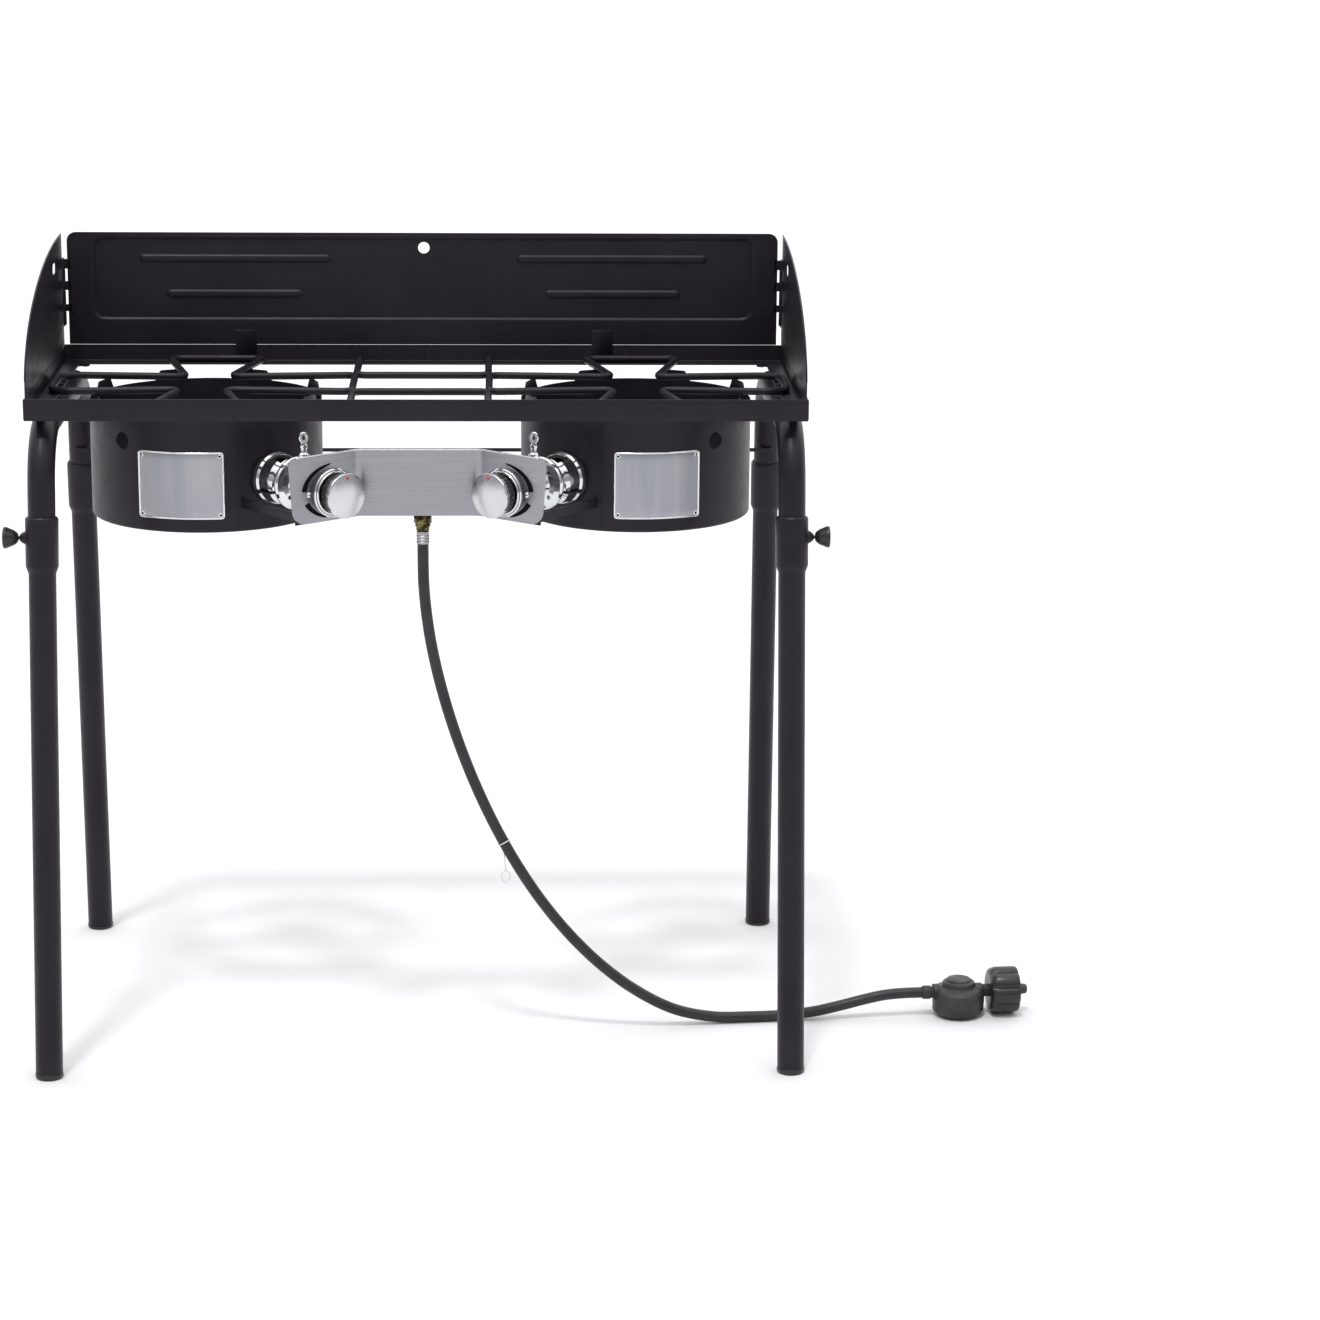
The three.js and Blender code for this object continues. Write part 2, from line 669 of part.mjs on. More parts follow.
for (const { name, s } of SIDES) {
  const body = turned(
    [
      [0, 166],
      [3.5, 166],
      [3.5, 173],
      [7, 173],
      [7, 189],
      [10.5, 189],
      [10.5, WING_T - PANEL.sheet - 6],
      [9, WING_T - PANEL.sheet - 1],
      [0, WING_T - PANEL.sheet - 1],
    ],
    12,
  );
  const port = onAxis(
    rod(8.4, MANIFOLD.half + GAP, MANIFOLD.half + 12, 12),
    vec(0, MANIFOLD.y, BURNER_Z),
    vec(s, 0, 0),
  );
  const stemBore = rod(4.3, WING_T - 16, WING_T + 2, 12);
  add(`valve_${name}`, cut(join(onFeed(body, s), port), onFeed(stemBore, s)), BRASS);

  const bezel = turned([[14, 0.3], [24.5, 0.3], [23.5, 3], [14, 3], [14, 0.3]], 16);
  add(`knob_bezel_${name}`, onFeed(bezel.translate(0, 0, WING_T), s), CHROME);

  const knobBody = turned([[0, 3.4], [20, 3.4], [21, 16], [0, 16]], 20);
  const stem = rod(3.8, -15, 4, 12);
  add(`knob_${name}`, onFeed(join(knobBody, stem).translate(0, 0, WING_T), s), PLASTIC);
  add(`knob_cap_${name}`, onFeed(knobCap().translate(0, 0, WING_T + 16 + GAP), s), CHROME);
}

// The chromed cap of a knob: a shallow lobed disc with a raised face.
function knobCap() {
  const lobes = 12;
  const points = Array.from({ length: lobes * 2 }, (_, i) => {
    const angle = (2 * Math.PI * i) / (lobes * 2);
    const radius = 22.9 + 0.6 * Math.cos(lobes * angle);
    return new THREE.Vector2(radius * Math.cos(angle), radius * Math.sin(angle));
  });
  const rim = plate(new THREE.Shape(points), 7);
  const face = turned([[0, 6], [20.5, 6], [19.5, 8.6], [0, 9.4]], 20);
  return join(rim, face);
}

const FERRULE_TOP = HOSE_TOP + 14;
const fitting = turned(
  [
    [0, FERRULE_TOP + GAP],
    [7, FERRULE_TOP + GAP],
    [7, 574],
    [9.4, 574],
    [9.4, 585],
    [7.4, 587],
    [7.4, FITTING_TOP],
    [0, FITTING_TOP],
  ],
  6,
).translate(INLET_X, MANIFOLD.y, 0);
add("inlet_fitting", fitting, BRASS);

// ---- Windscreen: back panel, hinge leaves, pins and folding side panels ----
function screenOutline() {
  const half = SCREEN.halfWidth;
  const round = 10;
  const shape = new THREE.Shape();
  shape.moveTo(-half, SCREEN_FOOT);
  shape.lineTo(half, SCREEN_FOOT);
  shape.lineTo(half, SCREEN.top - round);
  shape.absarc(half - round, SCREEN.top - round, round, 0, Math.PI / 2, false);
  shape.absarc(-half + round, SCREEN.top - round, round, Math.PI / 2, Math.PI, false);
  const hole = new THREE.Path();
  hole.absarc(0, 825, 6.5, 0, 2 * Math.PI, true);
  shape.holes.push(hole);
  return shape;
}

const screenSheet = plate(screenOutline(), SCREEN.sheet)
  .rotateX(Math.PI / 2)
  .translate(0, SCREEN.front + SCREEN.sheet, 0);
const screenBack = SCREEN.front + SCREEN.sheet;
const hem = block(-388, 388, SCREEN.front + 0.2, screenBack + 1.2, SCREEN.top - 8, SCREEN.top);
const CLIP = { x: 201, half: 12, top: 733, bottom: 699.5 };
const clips = SIDES.flatMap(({ s }) => {
  const [x0, x1] = [s * CLIP.x - CLIP.half, s * CLIP.x + CLIP.half];
  return [
    block(x0, x1, 174.4, 175.6, CLIP.bottom, CLIP.top),
    block(x0 + 3, x1 - 3, 175.5, SCREEN.front + 0.2, 722, 730),
    block(x0, x1, 178.4, 179.6, CLIP.bottom, SCREEN_FOOT + 2),
    block(x0, x1, SCREEN.front + 0.5, 179.6, SCREEN_FOOT + 0.4, SCREEN_FOOT + 2),
  ];
});
add("windscreen_back", join(screenSheet, hem, ...clips), POWDER);

const STRAPS = [[753, 761], [777, 787], [801, 812]];
const KNUCKLES = [[738, 752.6], [761.4, 776.6], [787.4, 800.6]];
for (const { name, s } of SIDES) {
  const axisX = s * PIN.x;
  const bore = PIN.radius + GAP;
  const knuckle = ([z0, z1]) => ring(bore, PIN.knuckle, z0, z1, 8).translate(axisX, PIN.y, 0);
  const pinSpace = rod(bore, PIN.bottom - 20, PIN.top + 20, 8).translate(axisX, PIN.y, 0);

  const leaf = block(s * 384, s * 397, 174.4, 175.8, 737, 813);
  const straps = STRAPS.flatMap(([z0, z1]) => [
    knuckle([z0, z1]),
    block(s * 396, s * (PIN.x - 0.8), PIN.y + 2, PIN.y + 3.2, z0, z1),
    block(s * 394, s * 397.5, PIN.y + 2, 175.2, z0, z1),
  ]);
  add(`hinge_leaf_${name}`, cut(join(leaf, ...straps), pinSpace), POWDER);

  const shank = rod(PIN.radius, PIN.bottom, PIN.top - 1, 10);
  const head = rod(2.6, PIN.top - 1.6, PIN.top, 10);
  add(`hinge_pin_${name}`, join(shank, head).translate(axisX, PIN.y, 0), STEEL);

  const wraps = KNUCKLES.flatMap(([z0, z1]) => [
    knuckle([z0, z1]),
    block(axisX - 0.6, axisX + 0.6, SIDE.rear - 2, PIN.y - 1, z0, z1),
  ]);
  add(`windscreen_side_${name}`, cut(join(sidePanel(s), ...wraps), pinSpace), POWDER);
}

// A folding side of the windscreen: a quarter-oval sheet with a round hole and a small catch hole.
function sidePanel(s) {
  const { front, rear, frontHeight } = SIDE;
  const base = TRAY.top + 1.4;
  const top = SCREEN.top - 1;
  const springing = base + frontHeight;
  const shape = new THREE.Shape();
  shape.moveTo(rear, base);
  shape.lineTo(rear, top);
  shape.absellipse(rear, springing, rear - front, top - springing, Math.PI / 2, Math.PI, false, 0);
  shape.lineTo(front, base);
  for (const [y, z, radius] of [[95, 812, 6], [-112, 727, 3]]) {
    const hole = new THREE.Path();
    hole.absarc(y, z, radius, 0, 2 * Math.PI, true);
    shape.holes.push(hole);
  }
  const sheet = plate(shape, SCREEN.sheet);
  // The outline's x is the stove's Y and its y is Z.
  const turn = new THREE.Matrix4().makeBasis(vec(0, 1, 0), vec(0, 0, 1), vec(1, 0, 0));
  return sheet.applyMatrix4(turn).translate(s * PIN.x - SCREEN.sheet / 2, 0, 0);
}

// ---- Gas hose: hangs from the inlet, comes down in a long curve and lies on the floor ----
const HOSE_END = vec(554, -79.5, 27);
const HOSE_POINTS = [
  [INLET_X, MANIFOLD.y, HOSE_TOP],
  [3.6, -148, 535],
  [4.2, -148, 510],
  [7, -147.8, 478],
  [12, -147.3, 444],
  [20, -146, 406],
  [31, -144.5, 365],
  [45, -142, 322],
  [62, -139, 278],
  [82, -135.5, 234],
  [105, -131.5, 191],
  [131, -127.5, 150],
  [161, -123, 111],
  [195, -118, 75],
  [233, -113, 44],
  [275, -107.5, 20],
  [318, -101, 8.2],
  [358, -97.2, 6.3],
  [402, -93, 6.5],
  [434, -90.2, 9.5],
  [464, -87.5, 15.5],
  [490, -85.2, 21.5],
  [512, -83.3, 25.6],
  [534, -81.3, 27],
  [HOSE_END.x, HOSE_END.y, HOSE_END.z],
];
const hoseStops = HOSE_POINTS.map((point) => vec(...point));
const hosePath = new THREE.CatmullRomCurve3(hoseStops, false, "centripetal");
const hose = new THREE.ExtrudeGeometry(section(HOSE_RADIUS, 8), {
  steps: 36,
  extrudePath: hosePath,
  bevelEnabled: false,
});
add("hose", hose, RUBBER);

const ferrule = rod(6.6, HOSE_TOP + GAP, FERRULE_TOP, 12).translate(INLET_X, MANIFOLD.y, 0);
add("hose_ferrule", ferrule, STEEL);

// ---- Regulator and its hand nut, lying on the floor at the end of the hose ----
const endDirection = vec(1, 0.09, 0).normalize();
const fromEnd = (geometry) => onAxis(geometry, HOSE_END, endDirection);
const REGULATOR = { radius: 29, reach: 42 };
const regulatorCentre = HOSE_END.clone().addScaledVector(endDirection, REGULATOR.reach);
const regulatorBody = turned(
  [[0, 0], [23, 0], [REGULATOR.radius, 6], [REGULATOR.radius, 30], [22, 38], [9, 42], [0, 42]],
  18,
).translate(regulatorCentre.x, regulatorCentre.y, 0);
const outlet = fromEnd(rod(7.5, GAP, 20, 12));
const inletStem = fromEnd(turned([[0, 60], [7, 60], [7, 112], [5, 120], [0, 120]], 12));
add("regulator", join(regulatorBody, outlet, inletStem), CAST);

function handNut() {
  const lobes = 8;
  const points = Array.from({ length: lobes * 2 }, (_, i) => {
    const angle = (2 * Math.PI * i) / (lobes * 2);
    const radius = 25.4 + 1.4 * Math.cos(lobes * angle);
    return new THREE.Vector2(radius * Math.cos(angle), radius * Math.sin(angle));
  });
  return cut(plate(new THREE.Shape(points), 32), rod(7.4, -5, 40, 12), rod(17, 14, 40, 16));
}
add("coupling_nut", fromEnd(handNut().translate(0, 0, 76)), PLASTIC);

export default group;
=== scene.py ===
"""Looks of a two-burner propane camp stove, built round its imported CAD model."""

import json
import math

import bmesh
import bpy
import numpy as np
from mathutils import Matrix, Vector


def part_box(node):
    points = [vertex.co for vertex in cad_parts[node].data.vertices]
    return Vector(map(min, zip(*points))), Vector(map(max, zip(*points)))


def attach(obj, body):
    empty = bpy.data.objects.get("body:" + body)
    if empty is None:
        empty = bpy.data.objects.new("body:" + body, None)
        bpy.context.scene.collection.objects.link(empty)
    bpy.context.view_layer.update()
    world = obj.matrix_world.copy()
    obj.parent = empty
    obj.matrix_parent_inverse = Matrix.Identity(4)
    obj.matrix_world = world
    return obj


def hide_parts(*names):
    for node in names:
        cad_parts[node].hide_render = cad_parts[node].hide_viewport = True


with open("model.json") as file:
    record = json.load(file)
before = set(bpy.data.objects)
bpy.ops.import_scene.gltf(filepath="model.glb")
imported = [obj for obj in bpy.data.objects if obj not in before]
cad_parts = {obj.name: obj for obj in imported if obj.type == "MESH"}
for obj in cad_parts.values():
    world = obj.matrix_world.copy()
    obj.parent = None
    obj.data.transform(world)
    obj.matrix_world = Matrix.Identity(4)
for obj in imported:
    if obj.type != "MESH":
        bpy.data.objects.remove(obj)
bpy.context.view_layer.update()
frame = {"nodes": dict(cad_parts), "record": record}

MM = 0.001
UP = Vector((0, 0, 1))
SIDES = (("left", -1), ("right", 1))
CORNERS = [(f"{end}_{side}", s, f) for end, f in (("front", -1), ("rear", 1)) for side, s in SIDES]

# ---- Driving dimensions in millimetres, as in the CAD ----
GAP = 0.3
TRAY = dict(width=813, depth=356, top=715, rail=23, skirt=3, ledge=20, sheet=2)
RAIL_BOTTOM = TRAY["top"] - TRAY["rail"]
LEDGE_BOTTOM = RAIL_BOTTOM + TRAY["skirt"]
LEDGE_TOP = LEDGE_BOTTOM + TRAY["sheet"]
ROD = 4
ROD_Z = LEDGE_TOP + GAP + ROD
BURNER_X, BURNER_Z = 233, 617
FEED_ANGLE = math.radians(39)
DRUM = dict(radius=125, bottom=562, rim=686, top=697, sheet=1.5, lip=12, tabs=8, tab=12)
TUBE_R = 14.3
FOOT = (394, 251.5)
CORNER = (390, 174, LEDGE_BOTTOM - GAP - TUBE_R)
SOCKET_END = 542
SCREW_AT = 570
SCREEN = dict(foot=715.6, top=842, half=399, front=176.2, sheet=1.2)
PIN = dict(x=404.2, y=171.5)
PANEL = dict(front=-159, half_flat=63, wing=90, bottom=588, top=659, sheet=1.2, knob_at=32)
WING_T = (BURNER_X - PANEL["half_flat"] - PANEL["knob_at"] * math.cos(FEED_ANGLE)) / math.sin(FEED_ANGLE)
INLET = (3.6, -148)
HOSE_POINTS = (
    (3.6, -148, 556), (3.6, -148, 535), (4.2, -148, 510), (7, -147.8, 478), (12, -147.3, 444),
    (20, -146, 406), (31, -144.5, 365), (45, -142, 322), (62, -139, 278), (82, -135.5, 234),
    (105, -131.5, 191), (131, -127.5, 150), (161, -123, 111), (195, -118, 75), (233, -113, 44),
    (275, -107.5, 20), (318, -101, 8.2), (358, -97.2, 6.3), (402, -93, 6.5), (434, -90.2, 9.5),
    (464, -87.5, 15.5), (490, -85.2, 21.5), (512, -83.3, 25.6), (534, -81.3, 27), (554, -79.5, 27),
)
HOSE_END = Vector(HOSE_POINTS[-1])
END_DIRECTION = Vector((1, 0.09, 0)).normalized()


# ---- Camera ----
def place_camera():
    pitch, yaw, roll = math.radians(14.24), math.radians(2.64), math.radians(-0.5)
    across = Vector((math.cos(yaw), -math.sin(yaw), 0))
    level = Vector((math.sin(yaw), math.cos(yaw), 0))
    ahead = level * math.cos(pitch) - UP * math.sin(pitch)
    upright = level * math.sin(pitch) + UP * math.cos(pitch)
    right = across * math.cos(roll) - upright * math.sin(roll)
    up = across * math.sin(roll) + upright * math.cos(roll)
    data = bpy.data.cameras.new("camera")
    data.sensor_width = 36
    data.lens = 97.16
    data.clip_end = 100
    camera = bpy.data.objects.new("camera", data)
    bpy.context.scene.collection.objects.link(camera)
    turn = Matrix((right, up, -ahead)).transposed().to_4x4()
    camera.matrix_world = Matrix.Translation((0.0853, -3.8297, 1.3637)) @ turn
    bpy.context.scene.camera = camera


place_camera()


# ---- Shapes: vertices in millimetres with the faces between them ----
class Shape:
    def __init__(self, verts=(), faces=()):
        self.verts = np.array(verts, float).reshape(-1, 3)
        self.faces = [tuple(face) for face in faces]

    def __add__(self, other):
        shift = len(self.verts)
        moved = [tuple(i + shift for i in face) for face in other.faces]
        return Shape(np.vstack([self.verts, other.verts]), self.faces + moved)

    def moved(self, x=0, y=0, z=0):
        return Shape(self.verts + np.array((x, y, z)), self.faces)

    def by(self, matrix):
        m = np.array(matrix)
        return Shape(self.verts @ m[:3, :3].T + m[:3, 3], self.faces)

    def mirrored(self):
        return Shape(self.verts * np.array((-1, 1, 1)), [face[::-1] for face in self.faces])


def merged(shapes):
    total = Shape()
    for shape in shapes:
        total = total + shape
    return total


def turn_to(x, y, z):
    """The turn that takes the three axes to x, y and z."""
    return Matrix((x, y, z)).transposed().to_4x4()


def on_axis(shape, origin, axis, side=UP):
    """Moves a shape built along +Z onto an axis, with its local +Y turned towards side."""
    z = Vector(axis).normalized()
    x = Vector(side).cross(z).normalized()
    return shape.by(Matrix.Translation(Vector(origin)) @ turn_to(x, z.cross(x), z))


def polar(radius, angle):
    return radius * math.cos(angle), radius * math.sin(angle)


def full_turn(count):
    """Angles spaced evenly round a circle."""
    return np.linspace(0, 2 * math.pi, count + 1)[:-1]


def fillet(points, radius, steps=4, closed=False):
    """A 2-D outline with its corners rounded; radius may be one number or one for each point."""
    count = len(points)
    radii = [radius] * count if np.isscalar(radius) else list(radius)
    found = []
    for i, point in enumerate(points):
        here = np.array(point, float)
        if not closed and i in (0, count - 1) or radii[i] <= 0:
            found.append(tuple(here))
            continue
        before = np.array(points[i - 1], float) - here
        after = np.array(points[(i + 1) % count], float) - here
        a, b = np.linalg.norm(before), np.linalg.norm(after)
        if a < 1e-6 or b < 1e-6:
            continue
        cosine = float(np.clip(before @ after / (a * b), -1, 1))
        half = math.acos(cosine) / 2
        if half > math.radians(89) or half < math.radians(1):
            found.append(tuple(here))
            continue
        reach = min(radii[i] / math.tan(half), 0.48 * a, 0.48 * b)
        start, end = here + before / a * reach, here + after / b * reach
        r = reach * math.tan(half)
        middle = before / a + after / b
        centre = here + middle / np.linalg.norm(middle) * (r / math.sin(half))
        u, v = start - centre, end - centre
        turn = math.acos(float(np.clip(u @ v / (np.linalg.norm(u) * np.linalg.norm(v)), -1, 1)))
        for k in range(steps + 1):
            t = k / steps
            point = (math.sin((1 - t) * turn) * u + math.sin(t * turn) * v) / math.sin(turn)
            found.append(tuple(centre + point))
    return found


def lathe(profile, sides=64):
    """A solid turned about +Z from (radius, height) points that run upwards on the outside."""
    verts, rings, faces = [], [], []
    for radius, height in profile:
        if radius < 1e-6:
            rings.append([len(verts)] * sides)
            verts.append((0, 0, height))
            continue
        rings.append(list(range(len(verts), len(verts) + sides)))
        for k in range(sides):
            angle = 2 * math.pi * k / sides
            verts.append((*polar(radius, angle), height))
    for low, high in zip(rings, rings[1:]):
        for k in range(sides):
            n = (k + 1) % sides
            face = list(dict.fromkeys((low[k], low[n], high[n], high[k])))
            if len(face) > 2:
                faces.append(face)
    return Shape(verts, faces)


def turned(profile, soft, sides, steps=4):
    """A lathe shape whose profile has its corners rounded."""
    return lathe(fillet(profile, soft, steps), sides)


def rod(radius, low, high, sides, soft=0):
    return turned([(0, low), (radius, low), (radius, high), (0, high)], soft, sides)


def bend_path(corners, radius, steps=10, closed=False):
    """A 3-D polyline with each corner rounded to a bend; radius may be one number or one for each corner."""
    corners = [Vector(c) for c in corners]
    count = len(corners)
    bends = radius if isinstance(radius, list) else [radius] * count
    found = []
    for i, here in enumerate(corners):
        if not closed and i in (0, count - 1):
            found.append(here)
            continue
        back = (corners[i - 1] - here).normalized()
        ahead = (corners[(i + 1) % count] - here).normalized()
        half = back.angle(ahead) / 2
        reach = bends[i] / math.tan(half)
        centre = here + (back + ahead).normalized() * (bends[i] / math.sin(half))
        start, end = here + back * reach - centre, here + ahead * reach - centre
        turn = start.angle(end)
        for k in range(steps + 1):
            t = k / steps
            swung = start * math.sin((1 - t) * turn) + end * math.sin(t * turn)
            found.append(centre + swung / math.sin(turn))
    return found


def tube(points, radius, sides=20, closed=False, dome=0.5):
    """A round bar along a polyline; its open ends are rounded over by dome times its radius."""
    points = [Vector(p) for p in points]
    radii = [radius] * len(points) if np.isscalar(radius) else list(radius)
    if not closed and dome > 0:
        first = (points[0] - points[1]).normalized()
        last = (points[-1] - points[-2]).normalized()
        inset = [(math.sin(a), math.cos(a)) for a in (0, 0.5, 1.0, 1.35)]
        r0, r1 = radii[0], radii[-1]
        start = [points[0] + first * (dome * r0 * (s - 1)) for s, _ in inset[::-1]]
        end = [points[-1] + last * (dome * r1 * (s - 1)) for s, _ in inset]
        points = start + points[1:-1] + end
        radii = [r0 * c for _, c in inset[::-1]] + radii[1:-1] + [r1 * c for _, c in inset]
    count = len(points)
    tangents = []
    for i in range(count):
        a = points[i - 1] if closed or i > 0 else points[0]
        b = points[(i + 1) % count] if closed or i < count - 1 else points[-1]
        tangents.append((b - a).normalized())
    normal = tangents[0].orthogonal().normalized()
    verts, faces = [], []
    for i in range(count):
        if i:
            normal = tangents[i - 1].rotation_difference(tangents[i]) @ normal
        binormal = tangents[i].cross(normal)
        for k in range(sides):
            angle = 2 * math.pi * k / sides
            verts.append(points[i] + (normal * math.cos(angle) + binormal * math.sin(angle)) * radii[i])
    rows = count if closed else count - 1
    twist = 0
    if closed:
        carried = tangents[-1].rotation_difference(tangents[0]) @ normal
        first_normal = tangents[0].orthogonal().normalized()
        angle = math.atan2(tangents[0].cross(first_normal).dot(carried), first_normal.dot(carried))
        twist = round(angle / (2 * math.pi) * sides)
    for i in range(rows):
        j = (i + 1) % count
        shift = twist if j == 0 else 0
        for k in range(sides):
            n = (k + 1) % sides
            far = [j * sides + (step + shift) % sides for step in (n, k)]
            faces.append((i * sides + k, i * sides + n, *far))
    if not closed:
        faces.append(tuple(range(sides))[::-1])
        faces.append(tuple((count - 1) * sides + k for k in range(sides)))
    return Shape(verts, faces)


def slab(outline, low, high):
    """A flat plate: a 2-D outline, counter-clockwise, between two heights."""
    n = len(outline)
    verts = [(x, y, low) for x, y in outline] + [(x, y, high) for x, y in outline]
    faces = [tuple(range(n))[::-1], tuple(range(n, 2 * n))]
    faces += [(k, (k + 1) % n, n + (k + 1) % n, n + k) for k in range(n)]
    return Shape(verts, faces)


def slab_across(outline, low, high):
    """A flat plate from an outline of (y, z) points, between two values of x."""
    plate = slab(outline, low, high)
    return Shape(plate.verts[:, [2, 0, 1]], plate.faces)


def block(x0, x1, y0, y1, z0, z1):
    x0, x1 = min(x0, x1), max(x0, x1)
    return slab([(x0, y0), (x1, y0), (x1, y1), (x0, y1)], z0, z1)


def grid(rows, wrap=False):
    """A sheet of quads through rows of points of equal length."""
    count = len(rows[0])
    verts = [p for row in rows for p in row]
    faces = []
    for i in range(len(rows) - 1):
        for k in range(count if wrap else count - 1):
            n = (k + 1) % count
            faces.append((i * count + k, i * count + n, (i + 1) * count + n, (i + 1) * count + k))
    return Shape(verts, faces)


def fluted(rings, sides, wave):
    """A closed skin through rings of (radius, height, depth), drawn in by depth times wave(angle)."""
    rows = []
    for radius, height, depth in rings:
        angles = [2 * math.pi * k / sides for k in range(sides)]
        rows.append([(*polar(radius - depth * wave(a), a), height) for a in angles])
    return grid(rows, wrap=True)


# ---- Objects ----
def link(name, data):
    thing = bpy.data.objects.new(name, data)
    bpy.context.scene.collection.objects.link(thing)
    return thing


def new_object(name, shape, sharp=40):
    mesh = bpy.data.meshes.new(name)
    mesh.from_pydata([tuple(v * MM) for v in shape.verts], [], shape.faces)
    bm = bmesh.new()
    bm.from_mesh(mesh)
    bmesh.ops.remove_doubles(bm, verts=bm.verts, dist=1e-6)
    bmesh.ops.recalc_face_normals(bm, faces=bm.faces)
    for face in bm.faces:
        face.smooth = True
    bm.to_mesh(mesh)
    bm.free()
    mesh.set_sharp_from_angle(angle=math.radians(sharp))
    return link(name, mesh)


def apply_modifiers(thing):
    bpy.context.view_layer.update()
    graph = bpy.context.evaluated_depsgraph_get()
    mesh = bpy.data.meshes.new_from_object(thing.evaluated_get(graph))
    old = thing.data
    thing.modifiers.clear()
    thing.data = mesh
    bpy.data.meshes.remove(old)
    for polygon in mesh.polygons:
        polygon.use_smooth = True
    mesh.set_sharp_from_angle(angle=math.radians(40))


def carve(thing, *cutters):
    tools = [new_object(f"cutter_{i}", shape) for i, shape in enumerate(cutters)]
    for tool in tools:
        cut = thing.modifiers.new("cut", "BOOLEAN")
        cut.object, cut.operation, cut.solver = tool, "DIFFERENCE", "EXACT"
    apply_modifiers(thing)
    for tool in tools:
        mesh = tool.data
        bpy.data.objects.remove(tool)
        bpy.data.meshes.remove(mesh)


def soften(thing, width, segments=2, angle=35, harden=True):
    bevel = thing.modifiers.new("edges", "BEVEL")
    bevel.width = width * MM
    bevel.segments = segments
    bevel.limit_method = "ANGLE"
    bevel.angle_limit = math.radians(angle)
    bevel.harden_normals = harden
    apply_modifiers(thing)


def thicken(thing, thickness):
    """Gives a sheet its thickness, on the side its faces look away from."""
    solid = thing.modifiers.new("sheet", "SOLIDIFY")
    solid.thickness = thickness * MM
    solid.offset = -1
    apply_modifiers(thing)


def finish_piece(thing, look="powder_coat", body="stove", nodes=()):
    thing.data.materials.clear()
    thing.data.materials.append(MATERIALS[look])
    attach(thing, body)
    if nodes:
        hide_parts(*nodes)
    return thing


def piece(name, shape, look="powder_coat", body="stove", nodes=(), bevel=0):
    thing = new_object(name, shape)
    if bevel:
        soften(thing, bevel)
    return finish_piece(thing, look, body, nodes)


# ---- Materials ----
def set_inputs(tree, node, **inputs):
    """Sets each named input of a node to a value, or links it to another node's output."""
    for name, value in inputs.items():
        socket = node.inputs[name.replace("_", " ")]
        if isinstance(value, bpy.types.NodeSocket):
            tree.links.new(value, socket)
        else:
            socket.default_value = value
    return node


class Look:
    """A Principled material with helpers for its procedural detail."""

    def __init__(self, name, **sockets):
        self.material = bpy.data.materials.new(name)
        self.material.use_nodes = True
        self.tree = self.material.node_tree
        self.shader = set_inputs(self.tree, self.tree.nodes["Principled BSDF"], **sockets)
        self.place = self.add("TexCoord").outputs["Object"]

    def add(self, kind, **inputs):
        return set_inputs(self.tree, self.tree.nodes.new(f"ShaderNode{kind}"), **inputs)

    def noise(self, scale, detail=3, rough=0.5, stretch=None):
        place = self.place
        if stretch:
            place = self.add("Mapping", Scale=stretch, Vector=place).outputs["Vector"]
        return self.add("TexNoise", Scale=scale, Detail=detail, Roughness=rough, Vector=place).outputs["Fac"]

    def colours(self, value, dark, light, start=0.35, end=0.65):
        node = self.add("ValToRGB", Fac=value)
        for element, position, colour in zip(node.color_ramp.elements, (start, end), (dark, light)):
            element.position = position
            element.color = (*colour, 1)
        set_inputs(self.tree, self.shader, Base_Color=node.outputs["Color"])

    def roughness(self, value, low, high):
        node = self.add("MapRange", Value=value, From_Min=0.35, From_Max=0.65, To_Min=low, To_Max=high)
        set_inputs(self.tree, self.shader, Roughness=node.outputs["Result"])

    def bump(self, value, strength, distance):
        """Adds a bump on top of any that the shader already has."""
        node = self.add("Bump", Height=value, Strength=strength, Distance=distance)
        for link_before in self.shader.inputs["Normal"].links:
            set_inputs(self.tree, node, Normal=link_before.from_socket)
        set_inputs(self.tree, self.shader, Normal=node.outputs["Normal"])


def make_look(name, sockets, tint, gloss, *bumps):
    """A material driven by noise: tint is (noise, dark, light) and gloss is (noise, low, high).

    Each bump is (noise, strength, distance).
    """
    look = Look(name, **sockets)
    look.colours(look.noise(*tint[0]), *tint[1:])
    look.roughness(look.noise(*gloss[0]), *gloss[1:])
    for noise, strength, distance in bumps:
        look.bump(look.noise(*noise), strength, distance)
    return look.material


